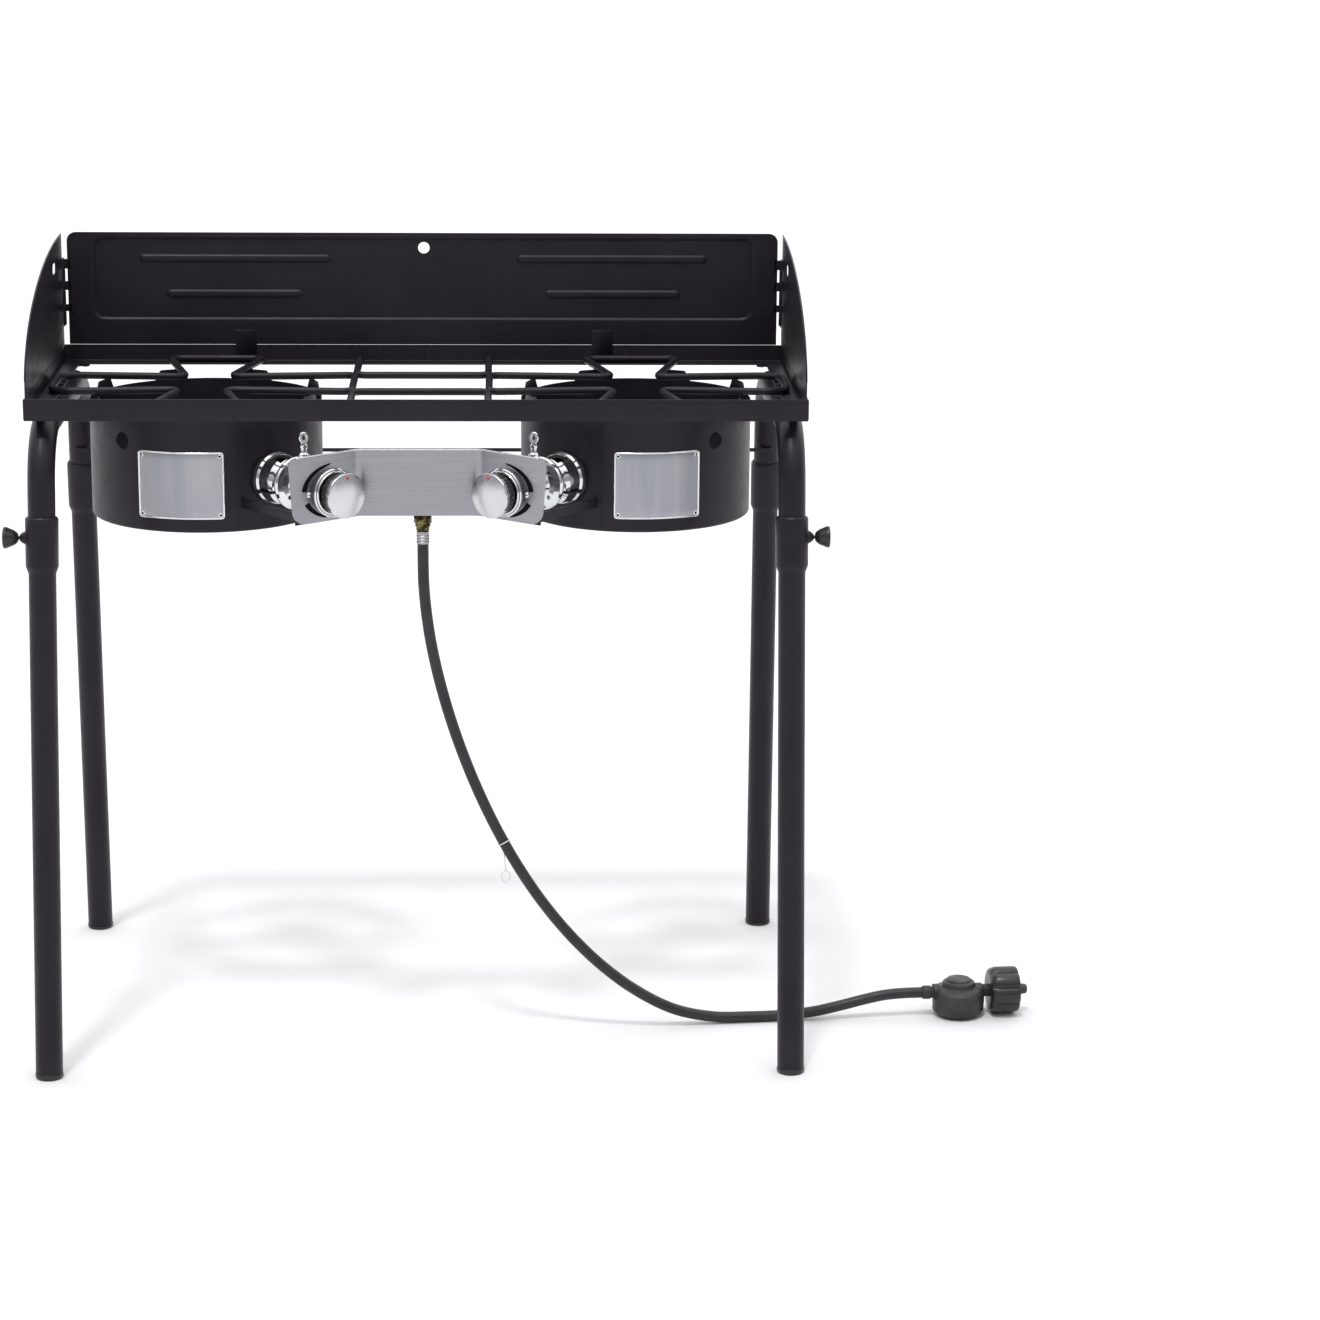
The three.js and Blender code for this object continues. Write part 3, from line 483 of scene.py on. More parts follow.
METAL = dict(Metallic=1.0)
PANEL_STROKES = (1, 4, 0.6, (9, 9, 1500))
BADGE_STROKES = (1, 4, 0.6, (700, 700, 7))
LOOKS = {
    "powder_coat": (
        dict(Specular_IOR_Level=0.25, Specular_Tint=(1, 0.93, 1, 1)),
        ((14, 4), (0.0105, 0.0086, 0.0124), (0.0148, 0.0124, 0.0172)),
        ((60, 3), 0.36, 0.43),
        ((850, 2), 0.1, 0.0002),
        ((2600, 1), 0.12, 0.0001),
    ),
    "brushed_steel": (
        METAL,
        ((5, 3), (0.315, 0.315, 0.335), (0.352, 0.352, 0.374)),
        (PANEL_STROKES, 0.24, 0.38),
        (PANEL_STROKES, 0.12, 0.00006),
    ),
    "badge_steel": (
        METAL,
        ((34, 3, 0.5, (1, 1, 0.12)), (0.37, 0.38, 0.425), (0.475, 0.475, 0.495)),
        (BADGE_STROKES, 0.42, 0.55),
        (BADGE_STROKES, 0.1, 0.00005),
        ((17, 2), 0.12, 0.001),
    ),
    "chrome_trim": (
        METAL,
        ((40, 2), (0.68, 0.69, 0.70), (0.76, 0.77, 0.78)),
        ((180, 3), 0.06, 0.12),
        ((90, 2), 0.06, 0.0001),
    ),
    "black_plastic": (
        dict(Specular_IOR_Level=0.5),
        ((30, 3), (0.011, 0.011, 0.012), (0.018, 0.018, 0.019)),
        ((120, 3), 0.26, 0.38),
        ((1500, 2), 0.12, 0.0001),
    ),
    "gas_brass": (
        METAL,
        ((150, 3), (0.035, 0.026, 0.013), (0.27, 0.25, 0.09), 0.45, 0.68),
        ((200, 3), 0.16, 0.3),
        ((900, 2), 0.1, 0.0001),
    ),
    "bare_steel": (
        METAL,
        ((90, 3), (0.34, 0.34, 0.35), (0.50, 0.50, 0.52)),
        ((300, 3), 0.28, 0.45),
        ((700, 2), 0.12, 0.0001),
    ),
    "hose_rubber": (
        dict(Specular_IOR_Level=0.45),
        ((35, 3), (0.012, 0.012, 0.0135), (0.021, 0.021, 0.023)),
        ((100, 3), 0.38, 0.52),
        ((1100, 2), 0.25, 0.0002),
    ),
    "cast_burner": (
        dict(Metallic=0.75),
        ((50, 5), (0.055, 0.052, 0.05), (0.12, 0.115, 0.11)),
        ((90, 3), 0.5, 0.72),
        ((650, 4, 0.7), 0.6, 0.0006),
    ),
    "regulator_body": (
        dict(Metallic=0.4),
        ((45, 4), (0.028, 0.028, 0.03), (0.05, 0.05, 0.053)),
        ((110, 3), 0.42, 0.58),
        ((800, 3), 0.35, 0.0003),
    ),
}
MARK_LOOKS = {
    # Near-black: print for the panel arcs, and painted shade in the hollow centres of the badge rivets.
    "print_and_shade_black": (
        dict(Specular_IOR_Level=0.08),
        ((200, 2), (0.002, 0.002, 0.003), (0.005, 0.005, 0.006)),
        ((300, 2), 0.5, 0.65),
    ),
    "mark_red": ({}, ((300, 2), (0.42, 0.012, 0.02), (0.55, 0.02, 0.03)), ((300, 2), 0.3, 0.4)),
    "satin_face": (METAL, ((25, 2), (0.60, 0.60, 0.62), (0.66, 0.66, 0.675)), ((140, 2), 0.2, 0.26)),
    # Much brighter than the brushed and badge steel beside it: a painted highlight on the panel's rolled top
    # edge, the badge borders and the rivet rings.
    "highlight_painted_rim": (METAL, ((120, 2), (0.80, 0.80, 0.82), (0.88, 0.88, 0.89)), ((200, 2), 0.18, 0.28)),
    "clip_coat": ({}, ((200, 2), (0.60, 0.60, 0.61), (0.72, 0.72, 0.73)), ((300, 2), 0.35, 0.5)),
}
MATERIALS = {name: make_look(name, *parts) for name, parts in LOOKS.items()}
MARKS = {name: make_look(name, *parts) for name, parts in MARK_LOOKS.items()}
SLOTS = {entry["node"]: entry["material_slot"] for entry in frame["record"]["subparts"]}
for node, thing in frame["nodes"].items():
    thing.data.materials.clear()
    thing.data.materials.append(MATERIALS[SLOTS[node]])
    for polygon in thing.data.polygons:
        polygon.use_smooth = False


def marked(thing, mark):
    """Gives a small piece its own colour; these colours are print, coatings, finishes, a painted highlight
    and painted shade.
    """
    thing.data.materials.clear()
    thing.data.materials.append(MARKS[mark])
    return thing


# ---- Gas hose, the first piece, with what is on it ----
def hose_curve():
    data = bpy.data.curves.new("gas_hose", "CURVE")
    data.dimensions = "3D"
    data.bevel_depth = 6 * MM
    data.bevel_resolution = 7
    data.use_fill_caps = True
    data.resolution_u = 12
    spline = data.splines.new("BEZIER")
    points = [Vector(p) * MM for p in HOSE_POINTS]
    spline.bezier_points.add(len(points) - 1)
    for i, knot in enumerate(spline.bezier_points):
        here = points[i]
        before, after = points[max(i - 1, 0)], points[min(i + 1, len(points) - 1)]
        tangent = (after - before).normalized()
        knot.co = here
        knot.handle_left_type = knot.handle_right_type = "FREE"
        knot.handle_left = here - tangent * (here - before).length / 3
        knot.handle_right = here + tangent * (after - here).length / 3
    return finish_piece(link("gas_hose", data), "hose_rubber", nodes=["hose"])


def crimp_ferrule():
    profile = [(0, 556.2), (6.9, 556.2)]
    for z in (559.2, 562.4, 565.6):
        profile += [(6.9, z - 0.9), (6.3, z - 0.2), (6.3, z + 0.2), (6.9, z + 0.9)]
    profile += [(6.9, 569.2), (5.4, 570.2), (0, 570.2)]
    ferrule = turned(profile, 0.35, 48, 3).moved(*INLET)
    return piece("hose_crimp", ferrule, "bare_steel", nodes=["hose_ferrule"])


def tag_clip():
    """A thin wire clip that hangs from the hose: a ring, a straight shank and an oval loop."""
    at = Vector((88, -134.5, 222))
    along = Vector((23, -4, -43)).normalized()
    side = along.cross(UP).normalized()
    over = side.cross(along)
    ring = [at + (side * math.cos(a) + over * math.sin(a)) * 6.9 for a in full_turn(24)]
    foot = at - UP * 9.5
    shank = [foot, foot - UP * 12 + Vector((1.2, 0, 0)), foot - UP * 23 + Vector((2.2, 0, 0))]
    centre = shank[-1] - UP * 6.6
    loop = [centre + Vector((4.4 * math.sin(a), 0, 6.6 * math.cos(a))) for a in full_turn(28)]
    shape = tube(ring, 0.65, 10, closed=True) + tube(shank, 0.6, 10) + tube(loop, 0.6, 10, closed=True)
    return marked(piece("hose_tag_clip", shape, "bare_steel"), "clip_coat")


# ---- Regulator and its hand nut ----
def regulator_piece():
    bell_reach, screw_circle = 42, 26.3
    centre = HOSE_END + END_DIRECTION * bell_reach
    bell = [
        (0, 0), (22.5, 0), (25, 2), (28.6, 6.5), (28.6, 15), (29, 15), (29, 20.6), (28.6, 20.6),
        (28.6, 28), (26, 31), (19, 33.5), (17.5, 38.5), (14, 40), (13.2, 42), (0, 42),
    ]
    spots = [polar(screw_circle, math.radians(30 + 60 * k)) for k in range(6)]
    rim_screws = merged(rod(2.4, 20, 22.8, 12, 0.5).moved(*spot) for spot in spots)
    vent = rod(4.6, 41.6, 41.9, 24, 0.2)
    body = (turned(bell, 1.2, 72) + rim_screws + vent).moved(centre.x, centre.y)
    outlet = [(0, 0.3), (6.6, 0.3), (7.6, 2), (7.6, 9), (6.6, 10), (6.6, 12), (9.2, 13), (9.2, 20), (0, 20)]
    stem = [(0, 60), (8.6, 60), (8.6, 68), (7, 69), (7, 106), (6.4, 112), (5.2, 119), (3.4, 120), (0, 120)]
    ends = turned(outlet, 0.6, 32) + turned(stem, 0.8, 32)
    shape = body + on_axis(ends, HOSE_END, END_DIRECTION)
    return piece("gas_regulator", shape, "regulator_body", nodes=["regulator"])


def hand_nut_piece():
    lobes = 8
    rings = [
        (7.6, 76, 0), (19, 76, 0), (22.5, 76.8, 0), (25.4, 79.5, 2.4), (26.6, 83, 3),
        (26.6, 103, 3), (26, 106.6, 2.4), (24.4, 108, 1.5), (18.4, 108, 0), (17, 106.6, 0),
        (17, 90, 0), (7.6, 90, 0), (7.6, 76, 0),
    ]
    nut = fluted(rings, 192, lambda a: 1 - abs(math.cos(lobes * a / 2)) ** 0.6)
    nut = on_axis(nut, HOSE_END, END_DIRECTION)
    return piece("regulator_hand_nut", nut, "black_plastic", "hand_nut", ["coupling_nut"])


hose = hose_curve()
on_hose = [crimp_ferrule(), tag_clip(), regulator_piece(), hand_nut_piece()]


# ---- Tray ----
def rail_shape(length):
    """A strip with its ledge and both ends mitred; x runs inwards, y along, z up."""
    ledge, height, sheet, skirt = TRAY["ledge"], TRAY["rail"], TRAY["sheet"], TRAY["skirt"]
    outline = [(0, 0), (sheet, 0), (sheet, skirt), (ledge, skirt)]
    outline += [(ledge, skirt + sheet), (sheet, skirt + sheet), (sheet, height), (0, height)]
    outline = fillet(outline, [0.8, 0.5, 0.4, 0.7, 0.7, 1, 0.7, 0.7], 4, closed=True)
    rows = [[(u, end * (length / 2 - GAP / 2 - u), v) for u, v in outline] for end in (-1, 1)]
    shape = grid(rows, wrap=True)
    n = len(outline)
    shape.faces += [tuple(range(n)), tuple(range(n, 2 * n))]
    return shape


def build_rails():
    for name, inward, face, length in (
        ("front", (0, 1, 0), (0, -TRAY["depth"] / 2), TRAY["width"]),
        ("rear", (0, -1, 0), (0, TRAY["depth"] / 2), TRAY["width"]),
        ("left", (1, 0, 0), (-TRAY["width"] / 2, 0), TRAY["depth"]),
        ("right", (-1, 0, 0), (TRAY["width"] / 2, 0), TRAY["depth"]),
    ):
        x = Vector(inward)
        place = Matrix.Translation((*face, RAIL_BOTTOM)) @ turn_to(x, UP.cross(x), UP)
        piece(f"tray_rail_{name}", rail_shape(length).by(place), nodes=[f"rail_{name}"])


def build_tray_welds():
    """A low bead of weld up each mitred corner, and the seam in the middle of the rear rail."""
    beads = []
    for s in (-1, 1):
        for f in (-1, 1):
            corner = Vector((s * (TRAY["width"] / 2 - 0.7), f * (TRAY["depth"] / 2 - 0.7), 0))
            line = [corner + UP * z for z in np.linspace(RAIL_BOTTOM + 1.2, TRAY["top"] - 0.8, 12)]
            beads.append(tube(line, [1.0 + 0.12 * (k % 2) for k in range(12)], 12, dome=1))
    seam_y = TRAY["depth"] / 2 - TRAY["sheet"]
    beads.append(tube([(0, seam_y, LEDGE_TOP + 1), (0, seam_y, TRAY["top"] - 1)], 0.5, 10, dome=1))
    piece("tray_welds", merged(beads))


def weld_blob(x, y, z, sx, sy, sz, seed):
    """A small rounded weld, slightly uneven."""
    rng = np.random.default_rng(seed)
    verts = lathe([(math.sin(a), -math.cos(a)) for a in np.linspace(0, math.pi, 9)], 14)
    wobble = 1 + 0.06 * rng.standard_normal(len(verts.verts))
    return Shape(verts.verts * wobble[:, None] * np.array((sx, sy, sz)) + np.array((x, y, z)), verts.faces)


def level_bar(reach, y, z, radius, sides, dome=0.5):
    """A bar along X, as far to the left as to the right."""
    return tube([(x, y, z) for x in (-reach, 0, reach)], radius, sides, dome=dome)


# ---- Supports, brace and legs ----
def leg_shift(f):
    """The front joints sit a little higher than the rear ones."""
    return 4.5 if f < 0 else -9


def leg_frame(s, f):
    foot = Vector((s * FOOT[0], f * FOOT[1], 0))
    axis = (Vector((s * CORNER[0], f * CORNER[1], CORNER[2])) - foot).normalized()
    return foot, axis


def build_supports():
    bend_radius, weld_y = 62, 160.5
    for name, s in SIDES:
        ends = {}
        for f in (-1, 1):
            foot, axis = leg_frame(s, f)
            ends[f] = foot + axis * (SOCKET_END + leg_shift(f))
        x, y, z = CORNER
        corners = [ends[-1], (s * x, -y, z), (s * x, y, z), ends[1]]
        shape = tube(bend_path(corners, bend_radius, 20), TUBE_R, 40, dome=0.15)
        for f in (-1, 1):
            for k, dx in enumerate((-9, 0, 9)):
                x = s * CORNER[0] + dx
                shape = shape + weld_blob(x, f * weld_y, LEDGE_BOTTOM - 1.2, 5.5, 3.2, 1.6, 40 + k)
        piece(f"support_tube_{name}", shape, nodes=[f"support_{name}"])
    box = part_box("brace_rod")
    y, z = ((box[0] + box[1]) / 2 / MM)[1:]
    reach = box[1].x / MM + 6
    piece("rear_brace", level_bar(reach, y, z, 2.2, 16), nodes=["brace_rod"])


def build_legs():
    for name, s, f in CORNERS:
        foot, axis = leg_frame(s, f)
        out = Vector((s, 0, 0)) if f < 0 else Vector((0, 1, 0))
        out = (out - axis * out.dot(axis)).normalized()
        shift = leg_shift(f)
        base = foot + axis * (SCREW_AT + shift)
        low, high = 533 + shift, 592 + shift
        sleeve = [
            (12.8, 5), (TUBE_R, 5), (TUBE_R, low), (17.1, low + 7), (17.3, high - 2), (15.9, high),
            (14.9, high), (15.2, low + 8), (12.8, low + 1), (12.8, 5),
        ]
        sleeve = turned(sleeve, [0, 0.5, 9, 6, 1.6, 0.6, 0.4, 1, 1, 0], 48)
        cone = turned([(0, 14.6), (7.7, 14.6), (7, 17.4), (4.9, 21), (2.7, 23), (0, 23.2)], 1, 36)
        shape = on_axis(sleeve, foot, axis) + on_axis(cone, base, out)
        piece(f"leg_tube_{name}", shape, body=f"lower_leg_{name}", nodes=[f"leg_{name}"])

        plug = [(0, -2), (13.4, -2), (14.9, 2.2), (14.9, 4.9), (12.1, 4.9), (12.1, 22), (0, 22)]
        cap = on_axis(turned(plug, [0, 1, 2, 0.6, 0.4, 0.6, 0], 48), foot, axis)
        cap.verts[:, 2] = np.maximum(cap.verts[:, 2], 0)
        piece(f"foot_{name}", cap, "black_plastic", f"lower_leg_{name}", [f"foot_cap_{name}"])

        bowl = [
            (0, 14.8), (1.7, 14.8), (1.7, 24.2), (3.7, 24.3), (5.5, 25.6), (8, 28.8), (9.6, 32.8),
            (11.2, 36.6), (11.5, 38.3), (11, 39.5), (9.9, 39.9), (0, 40),
        ]
        knob = on_axis(turned(bowl, 0.6, 48), base, out)
        piece(f"clamp_knob_{name}", knob, "black_plastic", f"clamp_{name}", [f"leg_screw_{name}"])


# ---- Grate ----
GRATE = dict(reach=165, arm_end=53, arm_in=24, cross_in=42, side_end=52, side_reach=395, inner_x=73.5)
MIDDLE = dict(x=72.5, bar=52, bend=11)


def build_grate():
    outer_bend, bend, foot_y, end_y = 24, 10, 160.4, 162.5
    for name, s in SIDES:
        centre = s * BURNER_X
        outer, inner = s * GRATE["side_reach"] - centre, s * GRATE["inner_x"] - centre
        half = [(GRATE["arm_end"], GRATE["reach"]), (GRATE["arm_in"], GRATE["cross_in"])]
        away = [(s * x, y) for x, y in half[::-1]]
        across = away + [(-x, y) for x, y in away[::-1]]
        plan = [(outer, GRATE["side_end"])] + across + [(inner, GRATE["side_end"])]
        plan = plan + [(x, -y) for x, y in plan[::-1]]
        corners = [(centre + x, y, ROD_Z) for x, y in plan]
        bends = [outer_bend] + [bend] * (len(corners) - 2) + [outer_bend]
        shape = tube(bend_path(corners, bends, 12, closed=True), ROD, 24, closed=True)
        shape = shape + weld_blob(centre, GRATE["reach"], ROD_Z, 3.2, 4.3, 4.3, 5)
        for x in (-48, 48):
            for end in (-1, 1):
                shape = shape + weld_blob(centre + x, end * foot_y, LEDGE_TOP + 1.3, 6, 2.4, 1.9, 7)
        for y in (-14, 14):
            shape = shape + weld_blob(s * 390.6, y, LEDGE_TOP + 1.3, 2.4, 6, 1.9, 9)
        piece(f"grate_{name}", shape, nodes=[f"grate_loop_{name}"])
    for name, f in (("front", -1), ("rear", 1)):
        x, bar = MIDDLE["x"], MIDDLE["bar"]
        corners = [(-x, f * 165, ROD_Z), (-x, f * bar, ROD_Z), (x, f * bar, ROD_Z), (x, f * 165, ROD_Z)]
        shape = tube(bend_path(corners, MIDDLE["bend"], 14), ROD, 24, dome=0.6)
        for end in (-x, x):
            shape = shape + weld_blob(end, f * end_y, LEDGE_TOP + 1.6, 5.6, 3.4, 2.2, 11)
        piece(f"grate_middle_{name}", shape, nodes=[f"grate_bar_{name}"])


# ---- Burner axis ----
def feed_axis(s):
    return Vector((-s * math.sin(FEED_ANGLE), -math.cos(FEED_ANGLE), 0))


def on_feed(shape, s):
    return on_axis(shape, (s * BURNER_X, 0, BURNER_Z), feed_axis(s))


# ---- Drums ----
def smooth_step(t):
    t = np.clip(t, 0, 1)
    return t * t * (3 - 2 * t)


def drum_shape():
    """A rolled sheet with its bottom turned in and tabs rising from its rim on rounded shoulders."""
    radius, sheet, bottom = DRUM["radius"], DRUM["sheet"], DRUM["bottom"]
    inside, lip = radius - sheet, radius - DRUM["lip"]
    columns = 576
    pitch = 360 / DRUM["tabs"]

    def rim(angle):
        to_tab = abs((angle % pitch) - pitch / 2)
        fall = smooth_step((to_tab - DRUM["tab"] / 2 + 0.6) / 3.6)
        return DRUM["rim"] + (DRUM["top"] - 0.1 - DRUM["rim"]) * (1 - fall)

    angles = [360 * k / columns for k in range(columns)]
    rims = [rim(a) for a in angles]
    below = [h - 0.4 for h in rims]
    outer = fillet([(lip, bottom), (radius, bottom), (radius, bottom + 30)], 3.2, 6)
    inner = fillet([(inside, bottom + 30), (inside, bottom + sheet), (lip, bottom + sheet)], 1.8, 6)
    edge = [(radius, below), (radius - 0.4, rims), (inside + 0.4, rims), (inside, below)]
    rows = []
    for r, height in outer + [(radius, 640), (radius, 678)] + edge + [(inside, 678), (inside, 640)] + inner:
        heights = [height] * columns if np.isscalar(height) else height
        rows.append([(*polar(r, math.radians(a)), z) for a, z in zip(angles, heights)])
    rows.append(rows[0])
    return grid(rows, wrap=True)


def build_drums():
    vent_turn, vent_z, seam_turn = math.radians(41), 656, 19
    for name, s in SIDES:
        drum = new_object(f"drum_shell_{name}", drum_shape().moved(x=s * BURNER_X))
        vent_axis = Vector((s * math.sin(vent_turn), -math.cos(vent_turn), 0))
        vent = on_axis(rod(9.5, 100, 140, 48), (s * BURNER_X, 0, vent_z), vent_axis)
        carve(drum, vent, on_feed(rod(26.5, 90, 150, 64), s))
        finish_piece(drum, nodes=[f"drum_{name}"])
        x, y = polar(DRUM["radius"], math.radians(-90 - s * seam_turn))
        x += s * BURNER_X
        line = [(x, y, z) for z in np.linspace(566, 681, 40)]
        seam = tube(line, [0.55 + 0.08 * math.sin(k * 1.7) for k in range(40)], 10, dome=1)
        piece(f"drum_seam_{name}", seam)


def build_badges():
    """A plain curved plate on each drum, with rounded corners, a raised border and four rivets; the border
    and rivet rings carry a painted highlight, and the rivets' hollow centres carry painted shade.
    """
    half_turn, outward_turn, rivet_inset = 21.5, 9, 4.4
    for name, s in SIDES:
        outer, inner = DRUM["radius"] + 1.1, DRUM["radius"] + 0.1
        half = math.radians(half_turn) * outer
        low, high, corner = 577, 649, 3
        outline = [(-half, low), (half, low), (half, high), (-half, high)]
        evenly = np.linspace(-half + corner, half - corner, 49)
        xs = {round(x, 3) for x, _ in fillet(outline, corner, 5, closed=True)} | set(np.round(evenly, 3))
        front = math.radians(s * outward_turn - 90)
        ends = []
        for x in sorted(xs):
            inset = max(0.0, abs(x) - (half - corner))
            drop = corner - math.sqrt(max(0.0, corner**2 - inset * inset))
            ends.append((x, low + drop, high - drop))

        def wrap(points, radius):
            return [(*polar(radius, front + x / outer), z) for x, z in points]

        levels = [[(x, z0 + (z1 - z0) * t) for x, z0, z1 in ends] for t in np.linspace(0, 1, 9)]
        shape = grid([wrap(level, outer) for level in levels])
        plate = new_object(f"badge_{name}", shape.moved(x=s * BURNER_X))
        thicken(plate, outer - inner)
        soften(plate, 0.25, 2, 60)
        finish_piece(plate, "badge_steel", nodes=[f"badge_plate_{name}"])
        bottom, top, side = low + 0.9, high - 0.9, half - 0.9
        edge = fillet([(-side, bottom), (side, bottom), (side, top), (-side, top)], 2.6, 6, closed=True)
        path = []
        for (x0, z0), (x1, z1) in zip(edge, edge[1:] + edge[:1]):
            steps = max(1, int(math.hypot(x1 - x0, z1 - z0) / 3))
            path += [(x0 + (x1 - x0) * k / steps, z0 + (z1 - z0) * k / steps) for k in range(steps)]
        border = tube(wrap(path, outer - 0.3), 1.05, 12, closed=True).moved(x=s * BURNER_X)
        rings, centres = Shape(), Shape()
        for end in (-1, 1):
            for z in (low + rivet_inset, high - rivet_inset):
                axis = (*polar(1, front + end * (half - rivet_inset) / outer), 0)
                foot = (s * BURNER_X, 0, z)
                collar = [(1.2, 0.8), (2.5, 0.8), (2.4, 1.5), (1.8, 1.9), (1.3, 1.7), (1.2, 0.8)]
                rings = rings + on_axis(lathe(collar, 24).moved(z=DRUM["radius"]), foot, axis)
                core = lathe([(0, 0.8), (1.25, 0.8), (1.2, 1.35), (0, 1.5)], 20).moved(z=DRUM["radius"])
                centres = centres + on_axis(core, foot, axis)
        # The border and the rivet rings get the bright rim colour, a painted highlight.
        marked(piece(f"badge_border_{name}", border + rings, "badge_steel"), "highlight_painted_rim")
        # The rivet cores fill the holes in the ring collars and are near-black: painted shade in the hollow
        # rivets.
        marked(piece(f"badge_rivets_{name}", centres, "badge_steel"), "print_and_shade_black")


# ---- Burners ----
def sector(inner, outer, half, low, high):
    """A wedge of a ring about local +Y, to cut air windows."""
    angles = np.linspace(math.pi / 2 - half, math.pi / 2 + half, 13)
    outline = [polar(outer, a) for a in angles] + [polar(inner, a) for a in angles[::-1]]
    return slab(outline, low, high)


def air_windows():
    window = sector(15, 40, 0.55, 136, 155)
    return [window, window.by(Matrix.Rotation(math.pi, 4, "Z"))]


def build_burners():
    crown = [
        (0, 595), (20, 595), (24, 600), (26, 617), (29, 640), (44, 648), (51.5, 652), (52, 656), (52, 659.5),
        (50, 662.5), (43, 664), (37, 664), (35.5, 661.5), (33, 660.8), (15, 660.8), (13, 662.5), (11, 664),
        (0, 664),
    ]
    horn = [
        (10, 20), (17, 20), (17, 90), (25.2, 112), (25.2, 149), (22.5, 149), (22.5, 116), (11, 92), (10, 60),
        (10, 20),
    ]
    for name, s in SIDES:
        burner = new_object(f"burner_head_{name}", turned(crown, 1.4, 96).moved(x=s * BURNER_X))
        ports = []
        for count, radius in ((28, 46.5), (20, 39.6), (8, 8)):
            hole = rod(1.5 if radius > 10 else 1.1, 655, 670, 10)
            for k in range(count):
                x, y = polar(radius, 2 * math.pi * (k + 0.5) / count)
                ports.append(hole.moved(s * BURNER_X + x, y))
        carve(burner, merged(ports))
        finish_piece(burner, "cast_burner", nodes=[f"burner_{name}"])
        neck = turned(horn, [0, 1, 14, 12, 0.8, 0.8, 8, 8, 1, 0], 64, 6)
        throat = new_object(f"burner_throat_{name}", neck)
        carve(throat, *air_windows())
        throat.data.transform(feed_matrix(s))
        finish_piece(throat, "cast_burner")


def feed_matrix(s):
    """Takes a mesh in metres from the feed axis's own frame to the row frame."""
    z = feed_axis(s)
    x = UP.cross(z).normalized()
    return Matrix.Translation(Vector((s * BURNER_X, 0, BURNER_Z)) * MM) @ turn_to(x, z.cross(x), z)


def build_shutters():
    cup_profile = [
        (26.2, 128), (27.2, 127.2), (28.6, 128), (28.4, 131), (26.8, 134), (26.6, 150), (25, 155),
        (24.2, 158), (25.4, 161), (28, 163), (28.4, 164), (28.4, 166), (27, 168), (21, 170), (15, 170.6),
        (13, 172.5), (13, 186), (12, 187), (8.2, 187), (8.2, 168.6), (20, 168.2), (25, 165.4),
        (23.4, 158), (25.2, 150), (25.4, 134), (26.2, 128),
    ]
    screw_reach, eye_z, eye_turn = 178, 667, 0.35
    shank, shoulder = BURNER_Z + 7.6, BURNER_Z + 13
    screw_profile = [(0, shank), (1.9, shank), (1.9, shoulder + 0.4), (4.4, shoulder + 0.4)]
    screw_profile += [(4.4, shoulder + 3.6), (2.6, shoulder + 4)]
    for k in range(7):
        z = shoulder + 4.4 + 1.5 * k
        screw_profile += [(2.2, z), (1.75, z + 0.75)]
    screw_profile += [(5.2, 646.4), (6, 647.4), (6, 649.6), (5, 650.8), (3.6, 651.8), (3.2, 655), (4.1, 657)]
    screw_profile += [(4.2, 659.4), (3.1, 661.6), (0, 662.4)]
    for name, s in SIDES:
        cup = new_object(f"shutter_cup_{name}", turned(cup_profile, 0.8, 96))
        spots = [polar(18.5, math.radians(90 * k + 45)) for k in range(4)]
        carve(cup, *air_windows(), merged(rod(2.1, 160, 180, 16).moved(*spot) for spot in spots))
        soften(cup, 0.25, 2, 50)
        cup.data.transform(feed_matrix(s))
        finish_piece(cup, "chrome_trim", f"shutter_{name}", [f"air_shutter_{name}"])

        base = Vector((s * BURNER_X, 0, 0)) + feed_axis(s) * screw_reach
        loop = []
        for a in full_turn(48):
            pinch = 0.72 + 0.28 * smooth_step((1 - math.cos(a)) / 1.1)
            loop.append(Vector((3.5 * math.sin(a) * pinch, 0, eye_z - 4.9 * math.cos(a))))
        eye = tube(loop, 1.8, 14, closed=True).by(Matrix.Rotation(-s * eye_turn, 4, "Z"))
        screw = (turned(screw_profile, 0.25, 24, 2) + eye).moved(base.x, base.y)
        body, nodes = f"loop_screw_{name}", [f"shutter_screw_{name}"]
        piece(f"shutter_loop_screw_{name}", screw, "chrome_trim", body, nodes)


# ---- Control panel ----
def panel_line():
    """Points along the sheet's front face, from the left tip to the right tip."""
    tip_x = PANEL["half_flat"] + PANEL["wing"] * math.cos(FEED_ANGLE)
    tip_y = PANEL["front"] - PANEL["wing"] * math.sin(FEED_ANGLE)
    fold = (PANEL["half_flat"], PANEL["front"])
    corners = [(-tip_x, tip_y, 0), (-fold[0], fold[1], 0), (*fold, 0), (tip_x, tip_y, 0)]
    path = bend_path(corners, 12, 12)
    dense = [path[0]]
    for point in path[1:]:
        start = dense[-1]
        count = max(1, int((point - start).length / 1.5))
        dense += [start.lerp(point, k / count) for k in range(1, count + 1)]
    return dense


